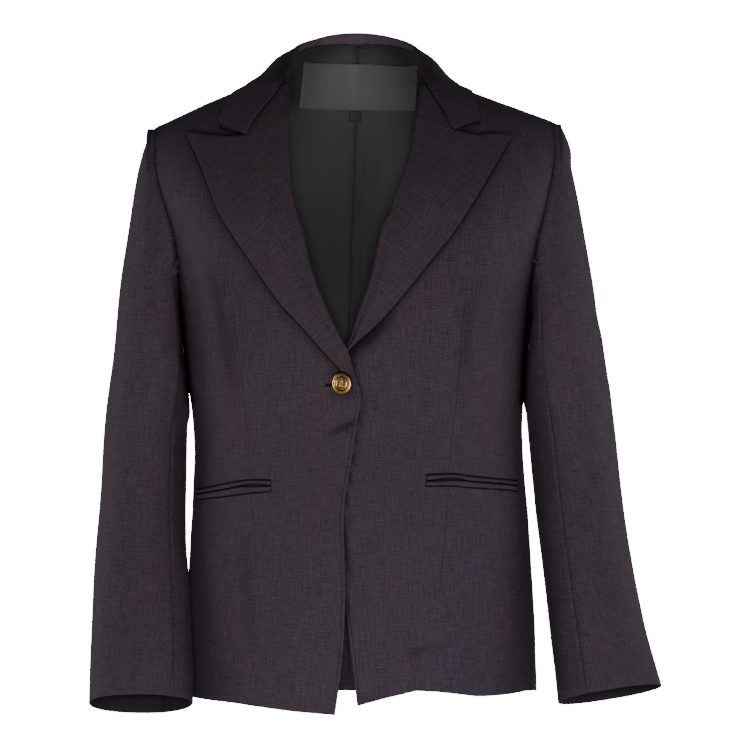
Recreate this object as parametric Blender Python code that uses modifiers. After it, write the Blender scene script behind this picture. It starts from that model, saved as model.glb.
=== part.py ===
"""A single breasted blazer with peaked lapels, filled out as if worn.

Lengths in the tables are millimetres, in the blazer's own frame: +Z up, the front
faces -Y, the wearer's right is -X, and the origin is between the shoulders, level
with the top of the shoulder seams. Each cut piece is an open sheet of points on the
body's surface, and a Solidify modifier makes it a wall of cloth.
"""
import math

import bmesh
import bpy
from mathutils import Vector

MM = 0.001

# Driving dimensions, in millimetres.
CLOTH = 1.6                 # wall of one layer of body cloth
TURNED = 2.4                # wall of a lapel or collar, two layers
THIN = 1.0                  # wall of lining, label and welt
GAP = 0.3                   # clear space left at a seam
BLADE = -150.0              # height where the shoulders start to round over
UNDERARM = -235.0
FRONT_SQUARE, BACK_SQUARE = 2.4, 2.8        # fullness of the body's level sections
FRONT_ROUND, BACK_ROUND = 1.8, 2.4          # fullness of its upright sections
NECK_HALF = 72.0            # shoulder seam's inner end, from the middle
NAPE = 46.0                 # height of the neck seam at the middle of the back
NAPE_RIDGE = 62.0           # how far the back's upright section would rise past it
OVERLAP_LIFT = 3.8          # the right front lies this far outside the left one
BUTTON_AT = (-13.6, -298.0)
SHANK = 4.5                 # the button's face stands this far off the cloth

RIGHT, LEFT = -1, 1
SIDES = {"right": RIGHT, "left": LEFT}

# Level sections of the body: half width on the wearer's right and left, and depth
# in front of and behind the side seam.
BODY = [
    # height, right, left, front, back
    (-625, 165, 180, 121, 109),
    (-560, 167, 178, 121, 108),
    (-500, 168, 175, 119, 105),
    (-450, 165.5, 172, 116, 100),
    (-400, 163, 168, 112, 93),
    (-365, 161, 165, 109, 88),
    (-335, 163, 164, 108, 86),
    (-300, 169, 168, 112, 88),
    (-262, 173, 171, 118, 93),
    (-235, 175, 173, 121, 97),
    (-199, 180, 177, 123, 102),
    (-164, 187, 185, 122, 105),
    (-136, 195, 193, 119, 106),
    (-97, 208, 203, 113, 106),
    (-62, 212, 208, 110, 105),
    (-40, 212, 206, 110, 104),
    (60, 212, 206, 105, 100),
]

# Shoulder seam seen from the front: its height over the middle, and its fall.
SHOULDER = {RIGHT: (48.0, 0.452), LEFT: (36.0, 0.378)}

# Armhole: how far round the body it lies from the middle, in degrees.
ARMHOLE = [
    # height, front, back
    (-235, 90, 90),
    (-222, 81.5, 80.5),
    (-199, 74, 72),
    (-164, 70, 67),
    (-136, 69.2, 66),
    (-80, 69, 66.5),
    (-40, 69, 67.5),
    (40, 69, 67.5),
]

# Inner edge of each front, from the hem up: the fastened edge, then the roll line.
RIGHT_EDGE = [
    # height, across
    (-625, -22), (-591, -17), (-560, -12.5), (-500, -10), (-467, -10.5), (-428, -13),
    (-406, -10.5), (-370, -4), (-334, 1.5), (-312, 4.6), (-303, 3), (-298, 0.5),
    (-287, -5), (-269, -10), (-244, -22), (-215, -35), (-180, -47), (-151, -53.5),
    (-107, -65), (-64, -68), (-19, -68.5), (3, -70), (60, -72),
]
LEFT_EDGE = [
    (-625, 3), (-591, -1), (-560, -5), (-519, -9.5), (-450, -17), (-370, -26),
    (-312, -33), (-298, -32), (-285, -24), (-269, -12.5), (-250, -3), (-226, 6), (-201, 15),
    (-170, 22.5), (-151, 27), (-107, 43), (-80, 52.5), (-49, 58), (-19, 63.5),
    (-3, 67), (60, 72),
]
EDGES = {RIGHT: RIGHT_EDGE, LEFT: LEFT_EDGE}

# Hems, as heights at degrees round from the middle of the front or back.
HEM = {
    ("front", RIGHT): [(-4, -614), (5, -613), (25, -610), (45, -607), (70, -608), (90, -610)],
    ("front", LEFT): [(-3, -607), (3, -606), (6, -602), (9, -597.5), (14, -591.5),
                      (18, -592.5), (22, -595), (29, -596.5), (38, -599), (50, -600),
                      (68, -601), (90, -606)],
    ("back", RIGHT): [(0, -617), (40, -616), (90, -610)],
    ("back", LEFT): [(0, -617), (40, -616), (90, -606)],
}

# Rows of every body panel: heights up to BLADE, then degrees over the shoulder.
LEVELS = [-575, -540, -500, -460, -425, -390, -360, -330, -298, -265, -235, -215, -195, -172,
          -150]
OVER = [14, 28, 42, 56, 68, 79, 90]

# Lapel outlines on the chest, as places across and up.
LAPELS = {
    RIGHT: {
        "roll": [(0.5, -296), (-7, -280), (-11.5, -269), (-23.5, -244), (-36.5, -215),
                 (-48.5, -180), (-55, -151), (-66.5, -107), (-69.5, -64), (-70, -19), (-71.5, -4)],
        "outer": [(-5, -297.5), (-16, -283), (-33, -265.5), (-51, -244), (-70, -224.5),
                  (-84.5, -206), (-101, -181), (-118, -157), (-133, -133.5), (-144, -106),
                  (-155, -78), (-168.5, -53)],
        "top": [(-71.5, -4), (-78, -16), (-89, -30), (-98.5, -43), (-105.5, -57.5),
                (-124, -59), (-145, -56), (-168.5, -53)],
        "bottom": [(0.5, -296), (-2, -297), (-5, -297.5)],
    },
    LEFT: {
        "roll": [(-7.5, -264), (-1.5, -250), (7.5, -226), (16.5, -201), (24, -170), (28.5, -151),
                 (44.5, -107), (54, -80), (59.5, -49), (65, -19), (67, -6)],
        "outer": [(-5.5, -263), (3.5, -256), (19.5, -242), (38, -221.5), (56.5, -199),
                  (73, -178), (92, -155), (113, -123), (126, -101.5), (141, -75.5), (152, -56.5)],
        "top": [(67, -6), (71.5, -15), (79.5, -27), (87, -42), (92, -54), (100.5, -56),
                (117, -58), (136, -56), (152, -56.5)],
        "bottom": [(-7.5, -264), (-6.5, -263.5), (-5.5, -263)],
    },
}

# Collar stations from each front tip to the middle of the back. The inner point is on
# the gorge seam and then on the fold; the outer point is on the collar's free edge.
# Front points lie on the chest; an inner point past it is given in full, and an outer
# point past it lies on the back.
COLLAR = {
    RIGHT: [
        # inner x, y, z        outer x, z    outer lies on
        (-106.9, None, -56.6, -135, -46, "front"),
        (-99.9, None, -42.1, -131, -35, "front"),
        (-90.4, None, -29.1, -126.5, -25, "front"),
        (-79.4, None, -15.1, -121, -14, "front"),
        (-72.5, None, -2.4, -110, -7.5, "front"),
        (-67.5, -12, 18, -101, -4, "ridge"),
        (-65, 10, 33.5, -97, 0.5, "back"),
        (-58, 34, 43.5, -84, -8, "back"),
        (-44, 55, 50.5, -62, -5, "back"),
        (-24, 69, 56.5, -32, 2, "back"),
    ],
    LEFT: [
        (94.3, None, -52.6, 121, -43, "front"),
        (89.0, None, -40.6, 119, -33, "front"),
        (81, None, -26.0, 116, -22, "front"),
        (73, None, -14.0, 112, -12, "front"),
        (68.5, None, -4.0, 102, -7, "front"),
        (65, -12, 17, 97, -3, "ridge"),
        (62.5, 10, 32.5, 92, -2, "back"),
        (56.5, 34, 42.5, 80, -9, "back"),
        (43, 55, 50.5, 60, -5, "back"),
        (23, 69, 56.5, 31, 2, "back"),
    ],
}
COLLAR_MIDDLE = (0, 75, 58.5, 0, 6, "back")
COLLAR_LIFT = 4.2           # the collar's middle over the panel under it
LAPEL_LIFT = 2.7            # the same for the lapels' lower ends

# Sleeve rings below the armhole, down to the cuff. Tilts are degrees.
SLEEVES = {
    RIGHT: [
        # height, inner, outer, middle y, half depth, forward tilt, sideways tilt
        (-262, 163, 242, 5, 62, 0, 0),
        (-292, 164, 246.5, 6, 61, 0, 0),
        (-322, 168, 250.5, 6, 59, 2, 0),
        (-365, 170.5, 254, 5, 55, 5, 0),
        (-405, 170.5, 256, -2, 52, 8, 0),
        (-445, 170.5, 258, -11, 48, 11, 0),
        (-485, 168, 260, -22, 45, 14, 0),
        (-525, 166.5, 261.5, -34, 42, 17, 0),
        (-568, 164.5, 262, -48, 38, 20, 0),
        (-612, 162.5, 262, -62, 34, 21, 0),
    ],
    LEFT: [
        (-262, 161, 242, 5, 62, 0, 0),
        (-292, 163, 248, 6, 61, 0, 0),
        (-322, 166, 254.5, 6, 59, 2, 0),
        (-365, 173, 260, 5, 55, 4, 0),
        (-405, 176, 264, -2, 52, 6, 0),
        (-445, 179.5, 268.5, -11, 48, 8, 1),
        (-485, 185, 274, -22, 45, 10, 2),
        (-525, 189, 280.5, -34, 42, 12, 4),
        (-565, 193, 288.5, -48, 38, 14, 6),
        (-603, 197, 298.5, -61, 34, 15, 9),
    ],
}
FRONT_SEAM = {RIGHT: -43, LEFT: -28}        # degrees from straight ahead, inwards
BACK_SEAM = 202             # the same way round
FRONT_SEAM_ROW, BACK_SEAM_ROW = 3, 3        # armhole rows over the underarm where they start
SLEEVE_SEAM = 0.9           # each side of a sleeve seam draws back this far
SLEEVE_CLEAR = 3.6          # the least space between a sleeve's middle and the body's
CAP_STEPS = 5               # rows over the sleeve head, from the armhole to the first ring
CAP_OUT = 42                # how strongly the head leaves the armhole, outwards
CAP_AHEAD = {RIGHT: 10, LEFT: 14}       # and forwards and backwards

LINING_CLEAR = 1.5          # space between the lining and the back
LINING_LEVELS = [-598, -540, -460, -390, -360, -330, -298, -235, -195, -150]
LINING_COLUMNS = (0, 1, 2, 3, 4, 6)         # columns of the back that the lining follows
LINING_TOP = 0.998          # how much of the back's upright section the lining takes

# Pocket slits on the fronts: inner end, outer end, and how high each lip stands.
POCKETS = {
    RIGHT: ((-82, -396.3), (-159, -408.0)),
    LEFT: ((69, -391.6), (157.5, -398.8)),
}
POCKET_BOW = 3.0            # the slit's middle lies this far over its ends' straight line
LIP = 4.8

# Patches on the lining: half width, middle, lower edge, upper edge, half its columns,
# and how many layers of THIN cloth lie under it.
NECK_LABEL = (57, 2.5, -21, 23, 6, 1)
SIZE_TAG = (6, -1, -35, -23, 1, 1)

# The button's turned face, from the middle out: radius and height over the shank.
BUTTON_FACE = [(0.0, 3.1), (3.0, 2.9), (5.6, 2.3), (7.0, 1.8), (7.8, 2.7), (9.4, 2.8),
               (10.5, 1.8), (10.5, 0.8), (9.2, 0.0), (3.4, 0.0)]
STEM = 2.6                  # the shank's radius

COLOURS = {
    # red, green, blue, roughness, metallic
    "wool": (0.045, 0.036, 0.045, 0.85, 0.0),
    "lining": (0.022, 0.022, 0.023, 0.45, 0.0),
    "label": (0.06, 0.06, 0.062, 0.5, 0.0),
    "metal": (0.42, 0.30, 0.13, 0.35, 1.0),
}


def through(rows, height):
    """The columns of a table at a height, on a smooth curve through its rows."""
    last = len(rows) - 1
    k = 0
    while k < last - 1 and height > rows[k + 1][0]:
        k += 1
    before, low, high, after = (rows[max(k - 1, 0)], rows[k], rows[k + 1], rows[min(k + 2, last)])
    span = high[0] - low[0]
    t = min(max((height - low[0]) / span, 0.0), 1.0)
    out = []
    for col in range(1, len(low)):
        rise = high[col] - low[col]
        start = slope(before, low, high, col, rise / span) * span
        end = slope(low, high, after, col, rise / span) * span
        out.append(low[col] + t * start + t * t * (3 * rise - 2 * start - end)
                   + t ** 3 * (start + end - 2 * rise))
    return out


def slope(low, middle, high, col, edge):
    """Slope of a table's column at its middle row, level at a turning point."""
    if low is middle or middle is high:
        return edge
    before = (middle[col] - low[col]) / (middle[0] - low[0])
    after = (high[col] - middle[col]) / (high[0] - middle[0])
    if before * after <= 0:
        return 0.0
    return 2 * before * after / (before + after)


def power(value, exponent):
    """A signed power, for superellipses."""
    return math.copysign(abs(value) ** exponent, value)


def section(height, side):
    """Half width, front depth and back depth of the body at a height."""
    right, left, front, back = through(BODY, height)
    return (right if side == RIGHT else left), front, back


def ridge(x, side, face):
    """Height at which the upright section over a place across comes to its top."""
    over, fall = SHOULDER[side]
    top = over - fall * abs(x)
    if face == "back":
        top += NAPE_RIDGE * max(1 - (x / NECK_HALF) ** 2, 0)
    return top


def rounding(face):
    return (FRONT_SQUARE, FRONT_ROUND) if face == "front" else (BACK_SQUARE, BACK_ROUND)


def body_point(face, side, degrees, row):
    """A point on the body: degrees round from its middle, at a row of LEVELS or OVER.

    A row over 0 is in degrees over the shoulder, and one under 0 is a height.
    """
    square, upright = rounding(face)
    turn = math.radians(degrees)
    across = power(math.sin(turn), 2 / square)
    along = power(math.cos(turn), 2 / square)
    z = row if row < 0 else BLADE
    depth_left = 1.0
    x = across * section(z, side)[0]
    if row > 0:
        lift = math.radians(row)
        depth_left = power(math.cos(lift), 2 / upright)
        for _ in range(6):
            z = BLADE + (ridge(x, side, face) - BLADE) * math.sin(lift) ** (2 / upright)
            x = across * section(z, side)[0]
    half, front, back = section(z, side)
    depth = -front if face == "front" else back
    return Vector((side * x, depth * depth_left * along, z))


def skin_point(face, side, degrees, row, out, turn=1.0, climb=1.5):
    """A point on the body, moved out along the normal of the surface around it."""
    around = (body_point(face, side, degrees + turn, row)
              - body_point(face, side, degrees - turn, row))
    low, high = (row - climb, row + climb) if abs(row) > climb else (row, row + climb)
    up = body_point(face, side, degrees, high) - body_point(face, side, degrees, low)
    normal = around.cross(up).normalized()
    place = body_point(face, side, degrees, row)
    if normal.dot(Vector((place.x, place.y, 40 if row > 60 else 0))) < 0:
        normal.negate()
    return place + normal * out


def on_body(x, z, face, side, out=0.0):
    """The point of the body's surface over a place across and up, moved out from it."""
    def depth(px, pz):
        square, upright = rounding(face)
        half, front, back = section(pz, side)
        round_left = 1.0
        if pz > BLADE:
            share = (pz - BLADE) / (ridge(px, side, face) - BLADE)
            round_left = max(1 - min(share, 1) ** upright, 1e-4) ** (1 / upright)
        flat_left = max(1 - min(abs(px) / half, 1) ** square, 1e-4) ** (1 / square)
        return (-front if face == "front" else back) * round_left * flat_left
    step = 0.5
    y = depth(x, z)
    outward = -1 if face == "front" else 1
    normal = Vector((-(depth(x + step, z) - depth(x - step, z)) / (2 * step), 1,
                     -(depth(x, z + step) - depth(x, z - step)) / (2 * step))) * outward
    return Vector((x, y, z)) + normal.normalized() * out


def angle_of(x, z, side, face):
    """Degrees round the body of a place across, at a height."""
    square = rounding(face)[0]
    share = side * x / section(z, side)[0]
    return math.degrees(math.asin(power(max(min(share, 1), -1), square / 2)))


def mix(a, b, t):
    return a + (b - a) * t


def front_grid(side, columns):
    """Rows of points for a front, from its inner edge to the side seam and armhole."""
    rows = []
    for row in [None] + LEVELS + OVER:
        height = LEVELS[0] if row is None else row
        edge_z = through(HEM["front", side], 0)[0] if row is None else height
        if height > 0:
            edge_z = BLADE + 100 * math.sin(math.radians(height))
        for _ in range(8):
            x = through(EDGES[side], edge_z)[0]
            inner = angle_of(x, edge_z, side, "front")
            edge_z = body_point("front", side, inner, height).z if row is not None else edge_z
        outer = 90.0
        if height > UNDERARM:
            probe = body_point("front", side, 70, height).z
            outer = through(ARMHOLE, probe)[0]
        line = []
        for k in range(columns + 1):
            degrees = mix(inner, outer, k / columns)
            level = through(HEM["front", side], degrees)[0] if row is None else row
            point = body_point("front", side, degrees, level)
            line.append(shifted(point, "front", side, degrees, row))
        rows.append(line)
    return rows


def shifted(point, face, side, degrees, row):
    """A seam point drawn back from its seam, and lifted where the fronts overlap."""
    toward_front = -1 if face == "front" else 1
    if degrees > 89.9:
        point.y += toward_front * GAP / 2
    if row == OVER[-1]:
        point.y += toward_front * GAP
    if face == "front" and side == RIGHT:
        reach = min(max((point.x + 75) / 40, 0), 1)
        low = min(max((-190 - point.z) / 40, 0), 1)
        point.y -= OVERLAP_LIFT * reach * reach * (3 - 2 * reach) * low
    return point


def back_column(side, row, k, columns):
    """Degrees round, and degrees or height up, of a column of the back at a row."""
    height = LEVELS[0] if row is None else row
    outer = 90.0
    if height > UNDERARM:
        outer = through(ARMHOLE, body_point("back", side, 68, height).z)[1]
    degrees = outer * k / columns
    if height <= 0:
        return degrees, height
    at_top = neckline_degrees(side, k, columns, columns // 3, outer)
    degrees = mix(degrees, at_top, height / OVER[-1])
    return degrees, row * neckline_row(side, at_top) / OVER[-1]


def back_grid(side, columns):
    """Rows of points for half a back, from the middle seam to the side seam and armhole."""
    rows = []
    for row in [None] + LEVELS + OVER:
        line = []
        for k in range(columns + 1):
            degrees, level = back_column(side, row, k, columns)
            if row is None:
                level = through(HEM["back", side], degrees)[0]
            point = body_point("back", side, degrees, level)
            if k == 0:
                point.x += side * GAP / 2
            line.append(shifted(point, "back", side, degrees, row))
        rows.append(line)
    return rows


def neckline_degrees(side, k, columns, neck_column, outer):
    """Degrees round of a column at the top row, so that one column meets the neck's corner."""
    corner = angle_of(side * NECK_HALF, 13, side, "back")
    if k <= neck_column:
        return corner * k / neck_column
    return mix(corner, outer, (k - neck_column) / (columns - neck_column))


def neckline_row(side, degrees):
    """How far over the shoulder the back reaches, in degrees: all the way past the neck."""
    square, upright = rounding("back")
    x = section(13, side)[0] * power(math.sin(math.radians(degrees)), 2 / square)
    if x >= NECK_HALF - 0.5:
        return OVER[-1]
    corner = ridge(NECK_HALF, side, "back")
    z = corner + (NAPE - corner) * (1 - (x / NECK_HALF) ** 2)
    share = (z - BLADE) / (ridge(x, side, "back") - BLADE)
    return math.degrees(math.asin(min(share, 1) ** (upright / 2)))


def armhole_loop(side):
    """The armhole from the underarm up the front to the shoulder and down the back."""
    first = 1 + LEVELS.index(UNDERARM)
    front = [line[-1] for line in front_grid(side, 2)[first:]]
    back = [line[-1] for line in back_grid(side, 3)[first:]]
    return front, back


def sleeve_angles(side, front, back):
    """Each armhole point's degrees round the sleeve: 0 ahead, 90 outside, 180 behind."""
    marks = [(0, -90), (FRONT_SEAM_ROW, FRONT_SEAM[side]), (len(front) - 1, 90)]
    front_angles = [between(marks, k) for k in range(len(front))]
    marks = [(0, 270), (BACK_SEAM_ROW, BACK_SEAM), (len(back) - 1, 90)]
    back_angles = [between(marks, k) for k in range(len(back))]
    return front_angles, back_angles


def between(marks, k):
    """A straight reading between marks of (index, value)."""
    for (low, low_value), (high, high_value) in zip(marks, marks[1:]):
        if k <= high:
            return mix(low_value, high_value, (k - low) / (high - low))
    return marks[-1][1]


def ring_point(side, ring, degrees):
    """A point of a sleeve ring."""
    z, inner, outer, y, half_depth, forward, sideways = ring
    turn = math.radians(degrees)
    across = (inner + outer) / 2 + (outer - inner) / 2 * power(math.sin(turn), 0.92)
    ahead = half_depth * power(math.cos(turn), 0.92)
    drop = math.tan(math.radians(forward)) * ahead
    rise = math.tan(math.radians(sideways)) * (across - (inner + outer) / 2)
    height = z + drop + rise
    if degrees < 0 or degrees > 180:
        across = max(across, beside_body(side, y - ahead, height) + SLEEVE_CLEAR)
    return Vector((side * across, y - ahead, height))


def beside_body(side, y, z):
    """How far the body reaches sideways at a depth and a height."""
    half, front, back = section(z, side)
    square, depth = (FRONT_SQUARE, front) if y < 0 else (BACK_SQUARE, back)
    return half * max(1 - min(abs(y) / depth, 1) ** square, 0) ** (1 / square)


def sleeve_column(side, start, degrees):
    """One line of a sleeve, from the armhole over the head and down to the cuff."""
    rings = SLEEVES[side]
    first = ring_point(side, rings[0], degrees)
    drop = max(start.z - first.z, 1)
    full = min(drop / 220, 1)
    ahead = math.cos(math.radians(degrees))
    leave = Vector((side * CAP_OUT, -CAP_AHEAD[side] * ahead, -10)) * full ** 0.6
    leave.z -= (1 - full) * drop * 0.6
    arrive = Vector((side * 15 * full, 0, -drop))
    clear = start + Vector((side * 2.6, -0.8 * ahead, -0.6))
    line = []
    for k in range(CAP_STEPS + 1):
        t = k / CAP_STEPS
        line.append(clear * (2 * t ** 3 - 3 * t * t + 1) + leave * (t ** 3 - 2 * t * t + t)
                    + first * (3 * t * t - 2 * t ** 3) + arrive * (t ** 3 - t * t))
    line += [ring_point(side, ring, degrees) for ring in rings[1:]]
    return line


def sleeve_grid(side, part):
    """Columns of points for one piece of a sleeve, "upper" or "under"."""
    front, back = armhole_loop(side)
    front_angles, back_angles = sleeve_angles(side, front, back)
    top = len(front) - 1
    starts = front + back[:-1][::-1]
    angles = front_angles + back_angles[:-1][::-1]
    back_seam = top + (top - BACK_SEAM_ROW)
    if part == "upper":
        picked = list(range(FRONT_SEAM_ROW, back_seam + 1))
    else:
        picked = list(range(back_seam, 2 * top)) + list(range(0, FRONT_SEAM_ROW + 1))
    lines = [sleeve_column(side, starts[k], angles[k]) for k in picked]
    for edge, neighbour in ((0, 1), (-1, -2)):
        for k, point in enumerate(lines[edge]):
            along = (lines[neighbour][k] - point).normalized()
            lines[edge][k] = point + along * SLEEVE_SEAM
    return lines


def along_line(points, t):
    """A place on a line of points, at a share of its length."""
    lengths = [math.dist(a, b) for a, b in zip(points, points[1:])]
    left = t * sum(lengths)
    for (a, b), length in zip(zip(points, points[1:]), lengths):
        if left <= length:
            return tuple(mix(p, q, left / length) for p, q in zip(a, b))
        left -= length
    return tuple(points[-1])


def lapel_grid(side, columns, rows):
    """A lapel's points: a patch inside its four outlines, moved out from the chest."""
    outline = LAPELS[side]
    low_in, low_out = outline["bottom"][0], outline["bottom"][-1]
    high_in, high_out = outline["top"][0], outline["top"][-1]
    grid = []
    for j in range(rows + 1):
        r = j / rows
        inner, outer = along_line(outline["roll"], r), along_line(outline["outer"], r)
        line = []
        for k in range(columns + 1):
            s = k / columns
            low, high = along_line(outline["bottom"], s), along_line(outline["top"], s)
            place = []
            for axis in (0, 1):
                corners = mix(mix(low_in[axis], low_out[axis], s),
                              mix(high_in[axis], high_out[axis], s), r)
                place.append(mix(inner[axis], outer[axis], s) + mix(low[axis], high[axis], r)
                             - corners)
            roll = 4.0 * math.sin(math.pi * min(s * 1.6, 1)) * math.sin(math.pi * r)
            lift = mix(LAPEL_LIFT, COLLAR_LIFT, r ** 2) + roll
            line.append(lapel_point(side, place[0], place[1], lift))
        grid.append(line)
    return grid


def lapel_point(side, x, z, out):
    """A point over the chest; the right front's lapel also clears the left one."""
    lift = 0.0
    if side == RIGHT:
        reach = min(max((x + 75) / 40, 0), 1)
        lift = OVERLAP_LIFT * reach * reach * (3 - 2 * reach) * min(max((-190 - z) / 40, 0), 1)
    point = on_body(x, z, "front", side, out)
    point.y -= lift
    return point


def collar_lines(columns):
    """Lines across the collar fall, from the right tip round the neck to the left tip."""
    stations = [(RIGHT,) + row for row in COLLAR[RIGHT]]
    stations.append((LEFT,) + COLLAR_MIDDLE)
    stations += [(LEFT,) + row for row in reversed(COLLAR[LEFT])]
    return smoothed([collar_line(columns, *station) for station in stations])


def collar_line(columns, side, in_x, in_y, in_z, out_x, out_z, lies_on):
    """One line across the collar: along the chest, or from the fold over to the shoulder."""
    line = []
    for k in range(columns + 1):
        t = k / columns
        swell = math.sin(math.pi * t ** 0.7)
        if in_y is None:
            lift = COLLAR_LIFT + 1.6 * swell
            line.append(on_body(mix(in_x, out_x, t), mix(in_z, out_z, t), "front", side, lift))
            continue
        if lies_on == "ridge":
            outer = Vector((out_x, 2, ridge(out_x, side, "front") + COLLAR_LIFT))
        else:
            outer = on_body(out_x, out_z, lies_on, side, COLLAR_LIFT + 1.2)
        inner = Vector((in_x, in_y, in_z))
        middle = (inner + outer) / 2
        away = Vector((middle.x, middle.y * 0.9, 0)).normalized()
        bulge = away * (1.5 if lies_on == "ridge" else 4.0) + Vector((0, 0, 3.5))
        line.append(inner.lerp(outer, t) + bulge * swell)
    return line


def smoothed(lines):
    """The same lines with one more between each two, on smooth curves through them."""
    out = []
    for k in range(len(lines) - 1):
        before, low = lines[max(k - 1, 0)], lines[k]
        high, after = lines[k + 1], lines[min(k + 2, len(lines) - 1)]
        out.append(low)
        out.append([(9 * (b + c) - a - d) / 16 for a, b, c, d in zip(before, low, high, after)])
    return out + [lines[-1]]


def stand_lines():
    """Lines of the collar stand, from just under the fold down to the neck seam."""
    lines = []
    for fall in collar_lines(3)[10:-10:2]:
        top = fall[0]
        inward = Vector((-top.x, -top.y * 0.6 - 20, 0)).normalized()
        start = top + inward * 2.6 + Vector((0, 0, -1.0))
        side = RIGHT if top.x < 0 else LEFT
        height = 13 + (NAPE - 13) * max(1 - (top.x / NECK_HALF) ** 2, 0) ** 0.8
        foot_z = min(height, start.z - 6)
        foot = Vector((start.x * 1.02, start.y + 0.8, foot_z + 0.6))
        lines.append([start, start.lerp(foot, 0.5), foot])
    return lines


def lining_grid(side, columns):
    """Half the back lining, just inside the back, from the neck to just over the hem."""
    out = -(CLOTH / 2 + LINING_CLEAR + THIN / 2)
    grid = []
    for row in LINING_LEVELS + OVER:
        line = []
        for k in LINING_COLUMNS:
            degrees, level = back_column(side, row, k, columns)
            if row > 0:
                level *= LINING_TOP
            point = skin_point("back", side, degrees, level, out, 6.0, 7.0)
            if k == 0:
                point.x = side * GAP / 2
            line.append(point)
        grid.append(line)
    return grid


def pocket_lip(side, lower):
    """One lip of a pocket: a strip beside the slit, moved out from the front."""
    (_, z_in), (_, z_out) = POCKETS[side]
    first, last = (angle_of(x, z, side, "front") for x, z in POCKETS[side])
    columns = 8
    out = CLOTH / 2 + GAP + THIN / 2 + 0.2
    grid = []
    for j in range(2):
        line = []
        for k in range(columns + 1):
            t = k / columns
            slit = mix(z_in, z_out, t ** 1.5) + POCKET_BOW * math.sin(math.pi * t)
            if lower:
                z = slit - GAP - LIP * (1 - j)
            else:
                z = slit + GAP + LIP * j
            line.append(skin_point("front", side, mix(first, last, t), z, out))
        grid.append(line)
    return grid


# Making the objects.

def clear_scene():
    for item in list(bpy.data.objects):
        bpy.data.objects.remove(item, do_unlink=True)


def material(name):
    red, green, blue, rough, metal = COLOURS[name]
    made = bpy.data.materials.new(name)
    made.use_nodes = True
    shader = made.node_tree.nodes["Principled BSDF"]
    shader.inputs["Base Color"].default_value = (red, green, blue, 1)
    shader.inputs["Roughness"].default_value = rough
    shader.inputs["Metallic"].default_value = metal
    return made


def sheet_object(name, grid, wall, finish, outward):
    """A sheet through a grid of points, made a wall; outward is a direction it faces."""
    bm = bmesh.new()
    points = [[bm.verts.new(point * MM) for point in line] for line in grid]
    for low, high in zip(points, points[1:]):
        for k in range(len(low) - 1):
            bm.faces.new((low[k], low[k + 1], high[k + 1], high[k]))
    bm.normal_update()
    facing = sum((outward(face.calc_center_median()).dot(face.normal) for face in bm.faces))
    if facing < 0:
        bmesh.ops.reverse_faces(bm, faces=bm.faces)
    mesh = bpy.data.meshes.new(name)
    bm.to_mesh(mesh)
    bm.free()
    mesh.shade_smooth()
    mesh.materials.append(finish)
    made = bpy.data.objects.new(name, mesh)
    solid = made.modifiers.new("wall", "SOLIDIFY")
    solid.thickness = wall * MM
    solid.offset = 0
    return made


def away_from(x, y):
    """A direction pointing away from an upright line, as a function of a place."""
    def outward(place):
        return Vector((place.x - x * MM, place.y - y * MM, 0))
    return outward


def tube_outward(side):
    return away_from(side * 215, 0)


def turned_button(finish):
    """The shank button: a rimmed, domed metal face on a short stem, facing forward."""
    profile = [(radius, SHANK + height) for radius, height in BUTTON_FACE]
    profile += [(STEM, 0.0), (0.0, 0.0)]
    mesh = bpy.data.meshes.new("button")
    verts = [(radius * MM, 0, height * MM) for radius, height in profile]
    edges = [(k, k + 1) for k in range(len(profile) - 1)]
    mesh.from_pydata(verts, edges, [])
    mesh.materials.append(finish)
    made = bpy.data.objects.new("button", mesh)
    screw = made.modifiers.new("turn", "SCREW")
    screw.axis = "Z"
    screw.steps = 24
    screw.render_steps = 24
    screw.use_merge_vertices = True
    screw.merge_threshold = 0.00001
    screw.use_normal_calculate = True
    x, z = BUTTON_AT
    place = on_body(x, z, "front", RIGHT, CLOTH / 2 + GAP) + Vector((0, -OVERLAP_LIFT, 0))
    made.location = place * MM
    made.rotation_euler = (math.radians(90), 0, 0)
    return made


def label_grid(half, middle, low, high, columns, layer):
    """A patch on the lining: its half width, middle, lower and upper edge."""
    inside = -(CLOTH / 2 + LINING_CLEAR + THIN + layer * (1.8 + THIN))
    grid = []
    for z in (low, mix(low, high, 0.5), high):
        grid.append([on_body(middle + half * k / columns, z, "back", LEFT, inside)
                     for k in range(-columns, columns + 1)])
    return grid


def build():
    clear_scene()
    home = bpy.data.collections.new("blazer")
    bpy.context.scene.collection.children.link(home)
    wool, lining, label, metal = (material(name) for name in ("wool", "lining", "label", "metal"))
    body_out = away_from(0, 0)
    made = []
    for name, side in SIDES.items():
        made.append(sheet_object("front_" + name, front_grid(side, 9), CLOTH, wool, body_out))
        made.append(sheet_object("back_" + name, back_grid(side, 9), CLOTH, wool, body_out))
        made.append(sheet_object("lining_" + name, lining_grid(side, 9), THIN, lining, body_out))
        for part in ("upper", "under"):
            made.append(sheet_object("sleeve_%s_%s" % (part, name), sleeve_grid(side, part),
                                     CLOTH, wool, tube_outward(side)))
        made.append(sheet_object("lapel_" + name, lapel_grid(side, 6, 11), TURNED, wool, body_out))
        for lip in ("upper", "lower"):
            made.append(sheet_object("welt_%s_%s" % (lip, name), pocket_lip(side, lip == "lower"),
                                     THIN, wool, body_out))
    made.append(sheet_object("collar_fall", collar_lines(4), TURNED, wool, body_out))
    made.append(sheet_object("collar_stand", stand_lines(), CLOTH, wool, body_out))
    made.append(sheet_object("neck_label", label_grid(*NECK_LABEL), THIN, label, body_out))
    made.append(sheet_object("size_tag", label_grid(*SIZE_TAG), THIN, label, body_out))
    made.append(turned_button(metal))
    for item in made:
        home.objects.link(item)


build()
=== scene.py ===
import math

import bmesh
import bpy
import numpy as np
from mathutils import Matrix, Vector, noise
from mathutils.bvhtree import BVHTree


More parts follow.
